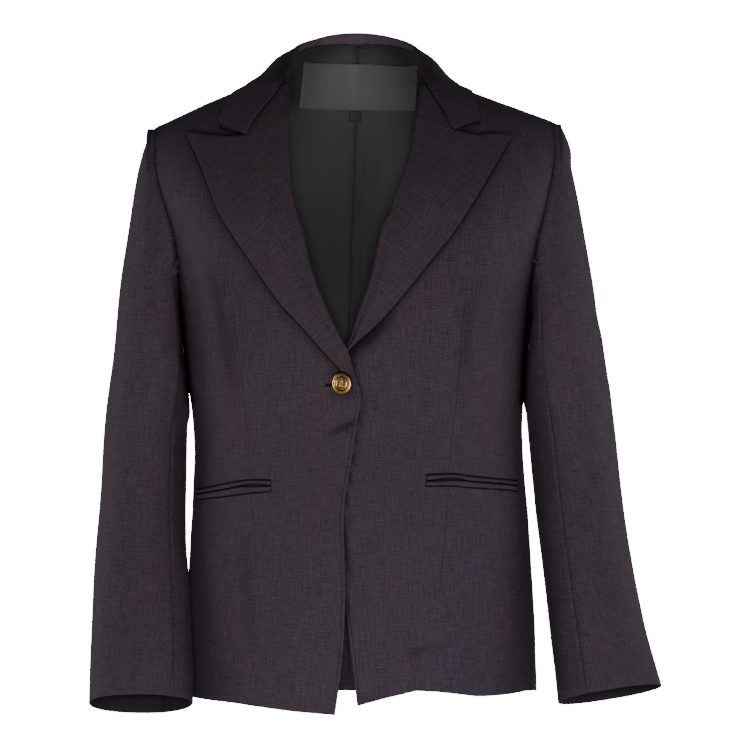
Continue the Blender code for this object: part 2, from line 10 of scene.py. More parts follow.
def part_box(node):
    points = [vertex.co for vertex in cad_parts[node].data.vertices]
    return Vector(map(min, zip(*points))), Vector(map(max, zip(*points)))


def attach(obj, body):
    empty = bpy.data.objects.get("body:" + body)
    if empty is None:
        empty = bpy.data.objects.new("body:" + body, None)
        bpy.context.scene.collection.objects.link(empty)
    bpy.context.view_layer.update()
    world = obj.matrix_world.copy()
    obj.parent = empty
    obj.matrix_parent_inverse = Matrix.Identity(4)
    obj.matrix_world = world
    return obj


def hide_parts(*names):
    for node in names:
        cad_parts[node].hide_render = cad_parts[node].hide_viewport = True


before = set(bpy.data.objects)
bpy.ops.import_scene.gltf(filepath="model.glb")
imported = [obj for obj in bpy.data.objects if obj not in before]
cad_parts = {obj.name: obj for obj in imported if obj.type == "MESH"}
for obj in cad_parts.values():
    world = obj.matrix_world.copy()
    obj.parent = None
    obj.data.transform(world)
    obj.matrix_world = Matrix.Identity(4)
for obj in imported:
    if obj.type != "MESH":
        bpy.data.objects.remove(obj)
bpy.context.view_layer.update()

MM = 0.001              # a millimetre in metres; sizes are in millimetres unless they say otherwise
RIGHT, LEFT = -1, 1     # the wearer's sides, as signs of x
SIDES = {"right": RIGHT, "left": LEFT}


# The suiting: a light plain-woven wool of plum warp and slate weft yarns, with
# thicker slubs in both directions and a soft sheen. It runs along each piece's own
# grain, so the pattern reads the piece's flat pattern coordinates, in metres.

def group_with(name, inputs, outputs):
    """An empty node group with named float or vector inputs and outputs."""
    group = bpy.data.node_groups.new(name, "ShaderNodeTree")
    for label, kind, value in inputs:
        made = group.interface.new_socket(label, in_out="INPUT", socket_type=kind)
        if value is not None:
            made.default_value = value
    for label, kind in outputs:
        group.interface.new_socket(label, in_out="OUTPUT", socket_type=kind)
    start = group.nodes.new("NodeGroupInput")
    end = group.nodes.new("NodeGroupOutput")
    return group, start, end


def feed(tree, made, inputs):
    """Gives a node's inputs, by name or number, their sockets or plain values."""
    for label, value in inputs.items():
        if isinstance(value, bpy.types.NodeSocket):
            tree.links.new(value, made.inputs[label])
        else:
            made.inputs[label].default_value = value


def node(tree, kind, inputs, **settings):
    """A new node with its settings and its inputs."""
    made = tree.nodes.new("ShaderNode" + kind)
    for label, value in settings.items():
        setattr(made, label, value)
    feed(tree, made, inputs)
    return made


def number(tree, operation, *values):
    """A Math node on sockets or plain numbers. MULTIPLY_ADD gives first x second + third."""
    return node(tree, "Math", dict(enumerate(values)), operation=operation).outputs[0]


def parts(tree, vector):
    """The X, Y and Z of a vector."""
    return node(tree, "SeparateXYZ", {0: vector}).outputs


def streaks(tree, place, scale, detail, rough):
    """Noise drawn out along the grain by three scales per metre."""
    stretch = node(tree, "VectorMath", {0: place, 1: scale}, operation="MULTIPLY")
    return node(tree, "TexNoise", {"Vector": stretch.outputs[0], "Scale": 1.0, "Detail": detail,
                                   "Roughness": rough}).outputs["Fac"]


def blend(tree, share, low, high):
    """A colour mix; colours are sockets or plain values."""
    return node(tree, "Mix", {0: share, 6: low, 7: high}, data_type="RGBA").outputs[2]


def bumped(tree, height, strength, depth):
    """The normal of a surface with a fine relief, its depth in metres."""
    return node(tree, "Bump", {"Height": height, "Strength": strength, "Distance": depth}).outputs["Normal"]


def material(name):
    """A new material, its nodes and its shader."""
    made = bpy.data.materials.new(name)
    made.use_nodes = True
    return made, made.node_tree, made.node_tree.nodes["Principled BSDF"]


STITCH = 0.0028         # the length of one stitch, in metres


def stitched(tree, marks, wide):
    """How deep and dark a sewn line, or a painted shadow line, is: marks hold the step across it, along it,
    and its strength.
    """
    across, along, strength = parts(tree, marks)
    near = node(tree, "MapRange", {"Value": number(tree, "ABSOLUTE", across), "From Min": wide,
                                   "From Max": 0.0}, interpolation_type="SMOOTHSTEP")
    pull = number(tree, "SINE", number(tree, "MULTIPLY", along, 2 * math.pi / STITCH))
    pull = number(tree, "MULTIPLY_ADD", pull, 0.14, 0.86)
    return number(tree, "MULTIPLY", number(tree, "MULTIPLY", near.outputs["Result"], strength), pull)


def left_of(tree, value, share=1.0):
    """What is left of one when a share of the value is taken off."""
    return number(tree, "MULTIPLY_ADD", value, -share, 1.0)


def dimmed(tree, colour, share):
    """A colour brought down to a share of its light."""
    return node(tree, "VectorMath", {0: colour, "Scale": share}, operation="SCALE").outputs[0]


def ribs(tree, place, step):
    """Parallel threads, one to each step across the place."""
    return number(tree, "ABSOLUTE", number(tree, "SINE", number(tree, "MULTIPLY", place, math.pi / step)))


def suiting_group():
    """Plain weave with slubs: a colour, a height and a roughness over the surface."""
    group, start, end = group_with(
        "suiting weave",
        [("Place", "NodeSocketVector", None), ("Thread", "NodeSocketFloat", 0.00055),
         ("Warmth", "NodeSocketFloat", 0.5), ("Seam", "NodeSocketVector", None),
         ("Welt", "NodeSocketVector", None), ("Shade", "NodeSocketFloat", 0.0),
         ("Tone", "NodeSocketFloat", 1.0)],
        [("Colour", "NodeSocketColor"), ("Height", "NodeSocketFloat"),
         ("Rough", "NodeSocketFloat"), ("Unshaded", "NodeSocketFloat")])
    place = start.outputs["Place"]
    # Sewn lines darken the cloth, and so do painted shadow lines under the lapels' and the collar's edges.
    sewn = number(group, "MAXIMUM", stitched(group, start.outputs["Seam"], 0.0009),
                  stitched(group, start.outputs["Welt"], 0.0007))
    across, along = (number(group, "DIVIDE", parts(group, place)[axis], start.outputs["Thread"])
                     for axis in ("X", "Y"))
    turn = number(group, "ADD", number(group, "FLOOR", across), number(group, "FLOOR", along))
    over = number(group, "ABSOLUTE", number(group, "MODULO", turn, 2.0))
    thread = number(group, "MULTIPLY_ADD", ribs(group, across, 1.0), over,
                    number(group, "MULTIPLY", ribs(group, along, 1.0), left_of(group, over)))
    warp_slub = streaks(group, place, (1050.0, 44.0, 1.0), 2.0, 0.6)
    weft_slub = streaks(group, place, (58.0, 980.0, 1.0), 2.0, 0.6)
    yarn = streaks(group, place, (1500.0, 520.0, 1.0), 1.0, 0.6)
    yarn_weft = streaks(group, place, (520.0, 1500.0, 1.0), 1.0, 0.6)
    patch = streaks(group, place, (13.0, 7.0, 1.0), 3.0, 0.6)
    lines = number(group, "MULTIPLY_ADD", warp_slub, 1.08, number(group, "MULTIPLY", weft_slub, 0.92))
    fine = number(group, "ADD", yarn, yarn_weft)
    fleck = number(group, "MULTIPLY_ADD", lines, 0.48, number(group, "MULTIPLY", fine, 0.52))
    light = node(group, "MapRange", {"Value": fleck, "From Min": 0.79, "From Max": 1.21})
    hue = number(group, "MULTIPLY_ADD", patch, 1.6,
                 number(group, "MULTIPLY_ADD", start.outputs["Warmth"], 0.6, -0.6))
    deep = blend(group, hue, (0.0170, 0.0130, 0.0225, 1), (0.0265, 0.0138, 0.0195, 1))
    bright = blend(group, hue, (0.060, 0.052, 0.079, 1), (0.086, 0.055, 0.067, 1))
    colour = blend(group, light.outputs["Result"], deep, bright)
    shade = number(group, "MULTIPLY_ADD", thread, 0.35, 0.78)
    # Painted shade darkens the colour, and so do sewn lines and the tone.
    for share in (left_of(group, sewn, 0.72), left_of(group, start.outputs["Shade"]), start.outputs["Tone"]):
        shade = number(group, "MULTIPLY", shade, share)
    # What painted shade and sewn lines leave of the shine and the sheen.
    clear = number(group, "MULTIPLY", left_of(group, start.outputs["Shade"]), left_of(group, sewn, 0.8))
    height = number(group, "MULTIPLY_ADD", sewn, -2.2, number(group, "MULTIPLY_ADD", thread, 0.5, fleck))
    feed(group, end, {"Colour": dimmed(group, colour, shade), "Unshaded": clear, "Height": height,
                      "Rough": number(group, "MULTIPLY_ADD", fleck, -0.12, 0.86)})
    return group


SHINE = 0.25


def cloth_material(name, weave, sheen, bump=0.35, depth=0.00022, **settings):
    """A finished cloth whose weave group reads the flat pattern coordinates and the marks
    and shades kept on the piece. Settings are the group's own values."""
    made, tree, shader = material(name)
    cloth = node(tree, "Group", {}, node_tree=weave)
    pattern = node(tree, "UVMap", {}, uv_map="pattern")
    feed(tree, cloth, {"Place": pattern.outputs["UV"], **settings})
    # The marks kept on the piece: sewn lines, painted shadow lines and painted shade.
    for label, kind in (("Seam", "Vector"), ("Welt", "Vector"), ("Shade", "Fac")):
        if label in cloth.inputs:
            marks = node(tree, "Attribute", {}, attribute_name=label.lower() + "_marks")
            feed(tree, cloth, {label: marks.outputs[kind]})
    feed(tree, shader, {"Base Color": cloth.outputs["Colour"], "Roughness": cloth.outputs["Rough"],
                        "Normal": bumped(tree, cloth.outputs["Height"], bump, depth),
                        "Sheen Roughness": 0.45, "Sheen Tint": (0.62, 0.52, 0.66, 1)})
    # Painted shade and sewn lines take the shine and the sheen away too.
    for label, value in (("Specular IOR Level", SHINE), ("Sheen Weight", sheen)):
        shader.inputs[label].default_value = value
        if "Unshaded" in cloth.outputs:
            feed(tree, shader, {label: number(tree, "MULTIPLY", cloth.outputs["Unshaded"], value)})
    return made


suiting_weave = suiting_group()
suiting = cloth_material("wool suiting", suiting_weave, 0.06, Warmth=0.5)
# The lapels' and the collar's suiting is toned down to 0.86: painted shade.
facing_cloth_shaded = cloth_material("wool suiting of collar and lapels", suiting_weave, 0.05,
                              Warmth=0.55, Tone=0.86)
# The collar's band is the suiting lightened 1.85 times: painted light.
band_cloth_lightened = cloth_material("wool suiting of the collar band", suiting_weave, 0.05, Warmth=0.85, Tone=1.85)
# The suiting turned inside hems, cuffs and facings, darkened to 0.42: painted shade.
turned_cloth_shaded = cloth_material("wool suiting turned inside, in painted shade", suiting_weave, 0.02, Warmth=0.6, Tone=0.42)


# The lining: a smooth, slightly lustrous charcoal twill that shows inside the neck,
# the hem and the cuffs.

def lining_group():
    """Fine satin twill: a colour, a height and a roughness."""
    group, start, end = group_with(
        "lining weave",
        [("Place", "NodeSocketVector", None), ("Seam", "NodeSocketVector", None),
         ("Shade", "NodeSocketFloat", 0.0)],
        [("Colour", "NodeSocketColor"), ("Height", "NodeSocketFloat"), ("Rough", "NodeSocketFloat")])
    place = start.outputs["Place"]
    x, y, _ = parts(group, place)
    cloudy = streaks(group, place, (24.0, 14.0, 1.0), 3.0, 0.5)
    fine = streaks(group, place, (900.0, 260.0, 1.0), 2.0, 0.5)
    share = number(group, "MULTIPLY", number(group, "ADD", cloudy, fine), 0.5)
    colour = blend(group, share, (0.081, 0.0815, 0.0835, 1), (0.134, 0.134, 0.137, 1))
    sewn = stitched(group, start.outputs["Seam"], 0.0007)
    # Sewn lines and painted shade darken the lining.
    light = number(group, "MULTIPLY", left_of(group, sewn, 0.6), left_of(group, start.outputs["Shade"]))
    slant = number(group, "MULTIPLY_ADD", y, 0.6, x)
    feed(group, end, {"Colour": dimmed(group, colour, light),
                      "Height": number(group, "MULTIPLY_ADD", sewn, -2.0, ribs(group, slant, 0.0006)),
                      "Rough": number(group, "MULTIPLY_ADD", cloudy, 0.16, 0.5)})
    return group


lining_cloth = cloth_material("charcoal lining", lining_group(), 0.05, 0.15, 0.0001)
lining_cloth.node_tree.nodes["Principled BSDF"].inputs["Sheen Tint"].default_value = (0.7, 0.7, 0.72, 1)


# The two fronts: body panels cut in suiting, each with a long dart through its pocket. The right one laps
# over the left and carries the buttonhole. Each is one sheet on its solid's outer face, creased along listed
# lines and given the cloth's thickness.

def plain(name, mesh):
    """A new object at the origin, softly shaded, the only one selected."""
    data = bpy.data.meshes.new(name)
    mesh.to_mesh(data)
    mesh.free()
    data.shade_smooth()
    made = bpy.data.objects.new(name, data)
    bpy.context.scene.collection.objects.link(made)
    pick(made)
    return made


def pick(piece):
    """Selects the piece alone and makes it the active one."""
    bpy.ops.object.select_all(action="DESELECT")
    piece.select_set(True)
    bpy.context.view_layer.objects.active = piece


def away_from(x, y=0.0):
    """Which way is outwards, round an upright line."""
    return lambda place: Vector((place.x - x * MM, place.y - y * MM, 0))


WALL_CORNER = math.radians(55)      # a panel's wall turns by less than this except at its rim


def mesh_of(piece):
    """A piece's mesh, for editing."""
    mesh = bmesh.new()
    mesh.from_mesh(piece.data)
    return mesh


def face_sheet(name, solid, outward):
    """The outward face of a panel's wall, as a sheet of quads."""
    mesh = mesh_of(bpy.data.objects[solid])
    bmesh.ops.remove_doubles(mesh, verts=mesh.verts, dist=1e-6)
    mesh.normal_update()
    left = set(mesh.faces)
    patches = []
    while left:
        patch, reach = set(), [left.pop()]
        while reach:
            face = reach.pop()
            patch.add(face)
            for edge in face.edges:
                for other in edge.link_faces:
                    if other in left and face.normal.angle(other.normal, 0) < WALL_CORNER:
                        left.discard(other)
                        reach.append(other)
        patches.append(patch)
    patches.sort(key=lambda patch: -sum(face.calc_area() for face in patch))
    keep = max(patches[:2], key=lambda patch: sum(
        outward(face.calc_center_median()).dot(face.normal) * face.calc_area() for face in patch))
    spare = [face for face in mesh.faces if face not in keep]
    bmesh.ops.delete(mesh, geom=spare, context="FACES")
    bmesh.ops.join_triangles(mesh, faces=mesh.faces, angle_face_threshold=math.pi,
                             angle_shape_threshold=math.pi, topology_influence=1.0)
    return plain(name, mesh)


def lay_pattern(piece, turn=0.0):
    """Flat pattern coordinates in metres, with the grain up the piece or turned from it."""
    pick(piece)
    for spare in list(piece.data.uv_layers):
        piece.data.uv_layers.remove(spare)
    piece.data.uv_layers.new(name="pattern")
    bpy.ops.object.mode_set(mode="EDIT")
    bpy.ops.mesh.select_all(action="SELECT")
    bpy.ops.uv.unwrap(method="ANGLE_BASED", margin=0.0)
    bpy.ops.object.mode_set(mode="OBJECT")
    mesh = piece.data
    flat = np.empty(len(mesh.loops) * 2)
    mesh.uv_layers["pattern"].data.foreach_get("uv", flat)
    flat = flat.reshape(-1, 2)
    owner = np.empty(len(mesh.loops), dtype=int)
    mesh.loops.foreach_get("vertex_index", owner)
    spots = places(piece)[owner]
    across = flat - flat.mean(axis=0)
    rise = np.linalg.lstsq(across, spots[:, 2] - spots[:, 2].mean(), rcond=None)[0]
    flat_area = real_area = 0.0
    for face in mesh.polygons:
        ring = flat[list(face.loop_indices)]
        flat_area += 0.5 * (ring[:, 0] @ np.roll(ring[:, 1], -1) - ring[:, 1] @ np.roll(ring[:, 0], -1))
        real_area += face.area
    scale = math.sqrt(real_area / abs(flat_area))
    angle = math.pi / 2 - math.atan2(rise[1], rise[0]) + math.radians(turn)
    cos, sin = math.cos(angle) * scale, math.sin(angle) * scale
    turned = np.stack([across[:, 0] * cos - across[:, 1] * sin,
                       across[:, 0] * sin + across[:, 1] * cos], axis=1)
    mesh.uv_layers["pattern"].data.foreach_set("uv", turned.reshape(-1))


def modify(piece, kind, **settings):
    """Applies one modifier to the piece."""
    pick(piece)
    made = piece.modifiers.new(kind, kind)
    for label, value in settings.items():
        setattr(made, label, value)
    bpy.ops.object.modifier_apply(modifier=made.name)


# The subdivision that turns a panel's face into a smooth, fine sheet.
FINER = {"levels": 3, "render_levels": 3, "boundary_smooth": "PRESERVE_CORNERS"}


def panel(solid, outward, size, seed):
    """A panel's outer face as smooth, slightly uneven cloth, with its pattern coordinates."""
    piece = face_sheet(solid + "_cloth", solid, outward)
    lay_pattern(piece)
    modify(piece, "SUBSURF", **FINER)
    ripple(piece, 0.9, size, seed)
    return piece


def places(piece):
    """The points of a piece, in metres, a row each."""
    values = np.empty(len(piece.data.vertices) * 3)
    piece.data.vertices.foreach_get("co", values)
    return values.reshape(-1, 3)


def outwards(piece):
    """The outward directions at a piece's points, a row each."""
    values = np.empty(len(piece.data.vertices) * 3)
    piece.data.vertex_normals.foreach_get("vector", values)
    return values.reshape(-1, 3)


def put(piece, values):
    """Moves the piece's points to new places."""
    piece.data.vertices.foreach_set("co", values.reshape(-1))
    piece.data.update()


def along_line(spots, line):
    """For each spot: its distance to a line, the share of the way along it, the step from it,
    and which way the line runs there."""
    line = np.array(line, dtype=float) * MM
    steps = line[1:] - line[:-1]
    lengths = np.linalg.norm(steps, axis=1)
    best = np.full(len(spots), 9.0)
    share = np.zeros(len(spots))
    gap = np.zeros((len(spots), 3))
    way = np.zeros((len(spots), 3))
    start = 0.0
    for a, step, length in zip(line, steps, lengths):
        heading = step / length
        t = np.clip((spots - a) @ heading, 0, length)
        off = spots - (a + t[:, None] * heading)
        dist = np.linalg.norm(off, axis=1)
        nearer = dist < best
        best[nearer] = dist[nearer]
        share[nearer] = (start + t[nearer]) / lengths.sum()
        gap[nearer] = off[nearer]
        way[nearer] = heading
        start += length
    return best, share, gap, way


def laid_on(piece, line):
    """The line's places moved onto the sheet, forwards or back only."""
    spots = places(piece) / MM
    out = []
    for x, y, z in line:
        gaps = (spots[:, 0] - x) ** 2 + (spots[:, 2] - z) ** 2 + 0.02 * (spots[:, 1] - y) ** 2
        out.append((x, spots[gaps.argmin(), 1], z))
    return out


def eased(t):
    """Nothing to one, softly at both ends."""
    t = np.clip(t, 0, 1)
    return t * t * (3 - 2 * t)


def faded(share, fade):
    """One along a line, easing to nothing over the given shares of it at its two ends."""
    held = np.ones(len(share))
    for edge, reach in ((share, fade[0]), (1 - share, fade[1])):
        if reach > 0:
            held *= eased(edge / reach)
    return held


def press(piece, line, width, depth, lean, fade):
    """A soft trough along a line of points on the cloth, or a ridge if depth is negative.
    One that leans is steeper on one side."""
    spots, normals = places(piece), outwards(piece)
    best, share, gap, way = along_line(spots, laid_on(piece, line))
    side = np.sign(np.einsum("ij,ij->i", gap, np.cross(way, normals)))
    s = best / (width * MM)
    bell = np.exp(-s * s)
    push = depth * MM * (bell + lean * side * s * bell * 1.6) * faded(share, fade)
    put(piece, spots - normals * push[:, None])


def press_all(piece, creases):
    """Presses a table of creases into the cloth, a row each."""
    for line, width, depth, lean, fade in creases:
        press(piece, line, width, depth, lean, fade)


def keep_marks(piece, layer, across, share, near):
    """Stores the marks of a sewn line, or of a painted shadow line, where it is nearer than the lines already
    there.
    """
    kept = piece.data.attributes.get(layer)
    old = np.zeros(len(across) * 3, dtype=np.float32)
    if kept is None:
        kept = piece.data.attributes.new(layer, "FLOAT_VECTOR", "POINT")
    else:
        kept.data.foreach_get("vector", old)
    old = old.reshape(-1, 3)
    closer = (near > 0) & ((old[:, 2] == 0) | (np.abs(across) < np.abs(old[:, 0])))
    old[closer] = np.stack([across, share, near], axis=1)[closer]
    kept.data.foreach_set("vector", old.reshape(-1).astype(np.float32))


# How far from a line or a rim its marks are kept, in metres, and the last part that fades.
LINE_REACH, RIM_REACH, REACH_FADE = 0.0062, 0.0068, 0.0026


def mark_lines(piece, lines, strength, wide=1.0, layer="seam_marks", ends=14):
    """Sewn lines, or lines of painted shadow, on a sheet: each point keeps its step across the nearest one,
    its place along it and how near it is. The last few millimetres, ends, fade out."""
    spots, normals = places(piece), outwards(piece)
    for line in lines:
        line = laid_on(piece, line)
        best, share, gap, way = along_line(spots, line)
        across = np.einsum("ij,ij->i", gap, np.cross(way, normals))
        length = sum(math.dist(a, b) for a, b in zip(line, line[1:])) * MM
        near = np.clip((LINE_REACH - best) / REACH_FADE, 0, 1) * strength
        near *= np.clip(np.minimum(share, 1 - share) * length / (ends * MM), 0, 1)
        keep_marks(piece, layer, across / wide, share * length, near)


def from_rim(piece, where):
    """How far each point is from the sheet's free edges where the test holds, in metres."""
    spots = places(piece)
    ends = np.array([spots[index] for index in rim_verts(piece) if where(spots[index] / MM)])
    far = np.zeros(len(spots))
    batch = 4000
    for start in range(0, len(spots), batch):
        steps = spots[start:start + batch, None, :] - ends[None, :, :]
        far[start:start + batch] = np.sqrt((steps ** 2).sum(axis=2)).min(axis=1)
    return far


def mark_rim(piece, where, strength, widths=((0,), (1.0,)), inset=0.0):
    """The dark line of a sewn or turned edge, along the free edges where the test holds or
    inset from them. Widths are heights and how wide the line is at each."""
    heights = places(piece)[:, 2]
    far = from_rim(piece, where) - inset * MM
    near = np.clip((RIM_REACH - np.abs(far)) / REACH_FADE, 0, 1) * strength
    keep_marks(piece, "seam_marks", far / np.interp(heights / MM, *widths), heights, near)


def keep_shade(piece, value):
    """Adds soft darkening to what the sheet already has."""
    kept = piece.data.attributes.get("shade_marks")
    old = np.zeros(len(value), dtype=np.float32)
    if kept is None:
        kept = piece.data.attributes.new("shade_marks", "FLOAT", "POINT")
    else:
        kept.data.foreach_get("value", old)
    kept.data.foreach_set("value", (1 - (1 - old) * (1 - value)).astype(np.float32))


def shade_near(piece, line, width, depth, fade=(0.0, 0.0)):
    """Painted shade along a line, where a fold, an edge or a neighbouring piece shades the cloth: deepest on
    the line and soft over the width. Both may change along it. A line of (x, z) places runs through front and
    back alike."""
    spots = places(piece)
    if len(line[0]) == 2:
        line = [(x, 0.0, z) for x, z in line]
        spots = spots * (1, 0, 1)
    else:
        line = laid_on(piece, line)
    best, share, _, _ = along_line(spots, line)
    wide, deep = (np.interp(share, np.linspace(0, 1, len(value)), value)
                  for value in (np.atleast_1d(width), np.atleast_1d(depth)))
    keep_shade(piece, deep * np.exp(-(best / (wide * MM)) ** 2) * faded(share, fade))


def shade_facing(piece, way, start, depth, low, high):
    """Cloth that faces its neighbour closely gets less light there, between two heights."""
    heights = places(piece)[:, 2] / MM
    held = np.clip((heights - low) / 40, 0, 1) * np.clip((high - heights) / 40, 0, 1)
    keep_shade(piece, depth * eased((outwards(piece) @ np.array(way) - start) / (1 - start)) * held)


def tuck_in(piece, seated, step):
    """Seam allowance: the cloth goes on past a sewn edge, under the piece it meets."""
    mesh = mesh_of(piece)
    mesh.faces.ensure_lookup_table()
    before = mesh.faces[0].normal.copy()
    edges = [edge for edge in mesh.edges
             if edge.is_boundary and all(vert.index in seated for vert in edge.verts)]
    made = bmesh.ops.extrude_edge_only(mesh, edges=edges)
    for item in made["geom"]:
        if isinstance(item, bmesh.types.BMVert):
            item.co += Vector(step(item.co)) * MM
    bmesh.ops.recalc_face_normals(mesh, faces=mesh.faces)
    mesh.faces.ensure_lookup_table()
    if mesh.faces[0].normal.dot(before) < 0:
        bmesh.ops.reverse_faces(mesh, faces=mesh.faces)
    mesh.to_mesh(piece.data)
    mesh.free()


def ripple(piece, amount, size, seed):
    """The slight unevenness of pressed cloth."""
    spots, normals = places(piece), outwards(piece)
    push = np.array([noise.noise(Vector(spot) / (size * MM) + Vector((seed, 0, 0))) for spot in spots])
    put(piece, spots + normals * (push * amount * MM)[:, None])


def rim_lines(piece):
    """The sheet's free edges, as pairs of points."""
    mesh = mesh_of(piece)
    pairs = [[tuple(vert.co) for vert in edge.verts] for edge in mesh.edges if edge.is_boundary]
    mesh.free()
    return np.array(pairs)


def rim_verts(piece):
    """The indices of the points on the sheet's free edges."""
    mesh = mesh_of(piece)
    found = [vert.index for vert in mesh.verts if vert.is_boundary]
    mesh.free()
    return found


def sew_to(piece, rims, reach):
    """Brings a sheet's free edge onto the edges it is sewn to, and tells which points moved."""
    spots = places(piece)
    a, b = rims[:, 0], rims[:, 1]
    step = b - a
    squares = np.maximum((step * step).sum(axis=1), 1e-12)
    moved = set()
    for index in rim_verts(piece):
        t = np.clip(((spots[index] - a) * step).sum(axis=1) / squares, 0, 1)
        near = a + t[:, None] * step
        gaps = np.linalg.norm(near - spots[index], axis=1)
        k = gaps.argmin()
        if gaps[k] < reach * MM:
            spots[index] = near[k]
            moved.add(index)
    put(piece, spots)
    return moved


def sink_rim(piece, depth, width, where):
    """A sewn edge rolls in: the cloth dips towards the seam where the test holds."""
    t = np.clip(1 - from_rim(piece, where) / (width * MM), 0, 1)
    put(piece, places(piece) - outwards(piece) * (t * t * depth * MM)[:, None])


def give_wall(piece, wall, finish, inside, round_off=0.6, rim_slot=0):
    """Thickness behind the sheet, with rounded edges and its own inner material."""
    piece.data.materials.clear()
    piece.data.materials.append(finish)
    piece.data.materials.append(inside)
    modify(piece, "SOLIDIFY", thickness=wall * MM, offset=-1.0, material_offset=1,
           material_offset_rim=rim_slot, use_even_offset=False)
    if round_off:
        modify(piece, "BEVEL", width=round_off * MM, segments=2, limit_method="ANGLE",
               angle_limit=math.radians(50), use_clamp_overlap=True)
    piece.data.shade_smooth()


def line_inside(piece, finish, where, own=1):
    """Another cloth on the inner faces where the test holds: a facing or a hem."""
    if finish.name not in piece.data.materials:
        piece.data.materials.append(finish)
    slot = piece.data.materials.find(finish.name)
    for face in piece.data.polygons:
        if face.material_index == own and where(face.center / MM):
            face.material_index = slot


def shade_inside(piece, hem, reach, depth):
    """Inside a cuff it gets darker upwards from the hem, whose verts pass the test."""
    spots = places(piece)
    ends = np.array([spot for spot in spots if hem(spot / MM)])
    plane = np.linalg.lstsq(np.c_[ends[:, :2], np.ones(len(ends))], ends[:, 2], rcond=None)[0]
    over = (spots[:, 2] - np.c_[spots[:, :2], np.ones(len(spots))] @ plane) / MM
    inner = np.zeros(len(spots), dtype=bool)
    for face in piece.data.polygons:
        if face.material_index != 0:
            inner[list(face.vertices)] = True
    t = np.clip(over / reach, 0, 1)
    keep_shade(piece, depth * t * (2 - t) * inner)


def declare(piece, nodes):
    """Hangs a piece of cloth on the one body and hides the parts it stands for."""
    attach(piece, "root")
    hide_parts(*nodes)


# The long dart of each front, from the chest down through the pocket.
DARTS = {
    RIGHT: [(-135, -96, -158), (-126, -99, -186), (-120, -100, -221), (-116, -97, -258),
            (-111, -94, -293), (-110, -91, -314), (-105, -91, -347), (-103, -94, -391),
            (-102, -96, -405), (-100, -99, -424), (-98, -102, -451), (-95, -105, -482)],
    LEFT: [(106, -106, -215), (102, -105, -242), (99, -99, -293), (97, -97, -314),
           (91, -98, -369), (89, -100, -383), (89, -102, -402), (86, -105, -432),
           (83, -109, -473), (80, -111, -497)],
}
FRONT_CREASES = {
    # line, width, depth, lean, fade
    RIGHT: [
        ([(-155, -70, -85), (-142, -90, -130), (-130, -98, -169), (-120, -101, -208), (-114, -98, -256)],
         13, -1.7, 0.0, (0.3, 0.4)),
        ([(-181, -55, -89), (-173, -68, -129), (-163, -68, -187), (-157, -65, -246),
          (-154, -53, -315), (-152, -47, -364)], 14, 1.8, 0.0, (0.25, 0.4)),
        ([(-34, -112, -348), (-22, -112, -344), (-12, -112, -339), (-2, -112.5, -333)],
         3.4, 2.3, -0.5, (0.5, 0.0)),
        ([(-60, -110, -352), (-40, -111, -348), (-22, -112, -342)], 6, 0.5, 0.0, (0.5, 0.5)),
        ([(-40, -121, -560), (-70, -117, -545), (-104, -105, -540)], 16, 0.7, 0.0, (0.4, 0.4)),
        ([(-60, -120, -608), (-66, -118, -560), (-74, -114, -510)], 15, -1.0, 0.0, (0.0, 0.5)),
        ([(-165, -5, -275), (-162, -5, -300), (-160, -5, -330)], 16, -1.4, 0.0, (0.3, 0.3)),
    ],
    LEFT: [
        ([(54, -118, -593), (58, -118, -572), (65, -117, -556), (82, -113, -546)],
         7.5, 2.6, 0.7, (0.0, 0.5)),
        ([(44, -121, -552), (58, -119, -557), (72, -117, -552)], 4.5, 2.0, 0.3, (0.35, 0.4)),
        ([(28, -121, -606), (34, -121, -572), (44, -119, -535), (52, -117, -500)],
         12, -2.2, 0.0, (0.0, 0.5)),
        ([(90, -112, -600), (98, -108, -560), (104, -105, -520)], 14, -1.4, 0.0, (0.0, 0.5)),
        ([(20, -114, -330), (60, -110, -345), (100, -100, -350)], 12, 0.5, 0.0, (0.4, 0.4)),
        ([(150, -62, -88), (148, -75, -135), (146, -80, -190), (144, -78, -250)],
         14, 1.1, 0.0, (0.3, 0.4)),
        ([(118, -92, -110), (122, -96, -160), (120, -99, -210)], 14, -1.2, 0.0, (0.4, 0.4)),
        ([(165, -5, -275), (162, -5, -300), (160, -5, -330)], 16, -1.4, 0.0, (0.3, 0.3)),
    ],
}
LAPEL_SHADOW = {
    # Where the lapels' outer edges and their tops lie on the fronts.
    RIGHT: [[(-5, -118, -299.5), (-17, -118, -284.5), (-33.5, -118, -267), (-52, -116, -245.4),
             (-70.6, -114, -225.8), (-85.3, -112, -206.8), (-102.2, -108, -181.8), (-118.9, -104, -157.5),
             (-133.8, -98, -134.1), (-145, -88, -106.2), (-156.4, -76, -77.6), (-170.8, -56, -50.6)],
            [(-105.5, -82, -57.4), (-123.6, -76, -57.8), (-145.2, -68, -55), (-169.4, -56, -50.4)]],
    LEFT: [[(-8.7, -113, -268.9), (3.6, -113, -257.5), (20.2, -113, -243.2), (38.9, -112, -222.6),
            (57.5, -111, -199.8), (74.1, -109, -179.1), (92.7, -107, -156), (113.7, -101, -124.3),
            (126.5, -96, -102.6), (141.9, -84, -76.2), (153.5, -72, -56)],
           [(92.3, -82, -52.2), (100.7, -80, -53.2), (117.3, -78, -56.2), (136.9, -74, -54),
            (152.1, -70, -55.6)]],
}
COLLAR_SHADOW = {
    # Where the collar's points lie on the fronts.
    RIGHT: [(-104, -60, -8.2), (-115.3, -66, -10.5), (-126.6, -68, -29), (-133.8, -72, -47.2),
            (-106.8, -80, -57)],
    LEFT: [(96, -58, -7.3), (109, -64, -21.9), (119.7, -70, -42.4), (92.8, -80, -50.5)],
}
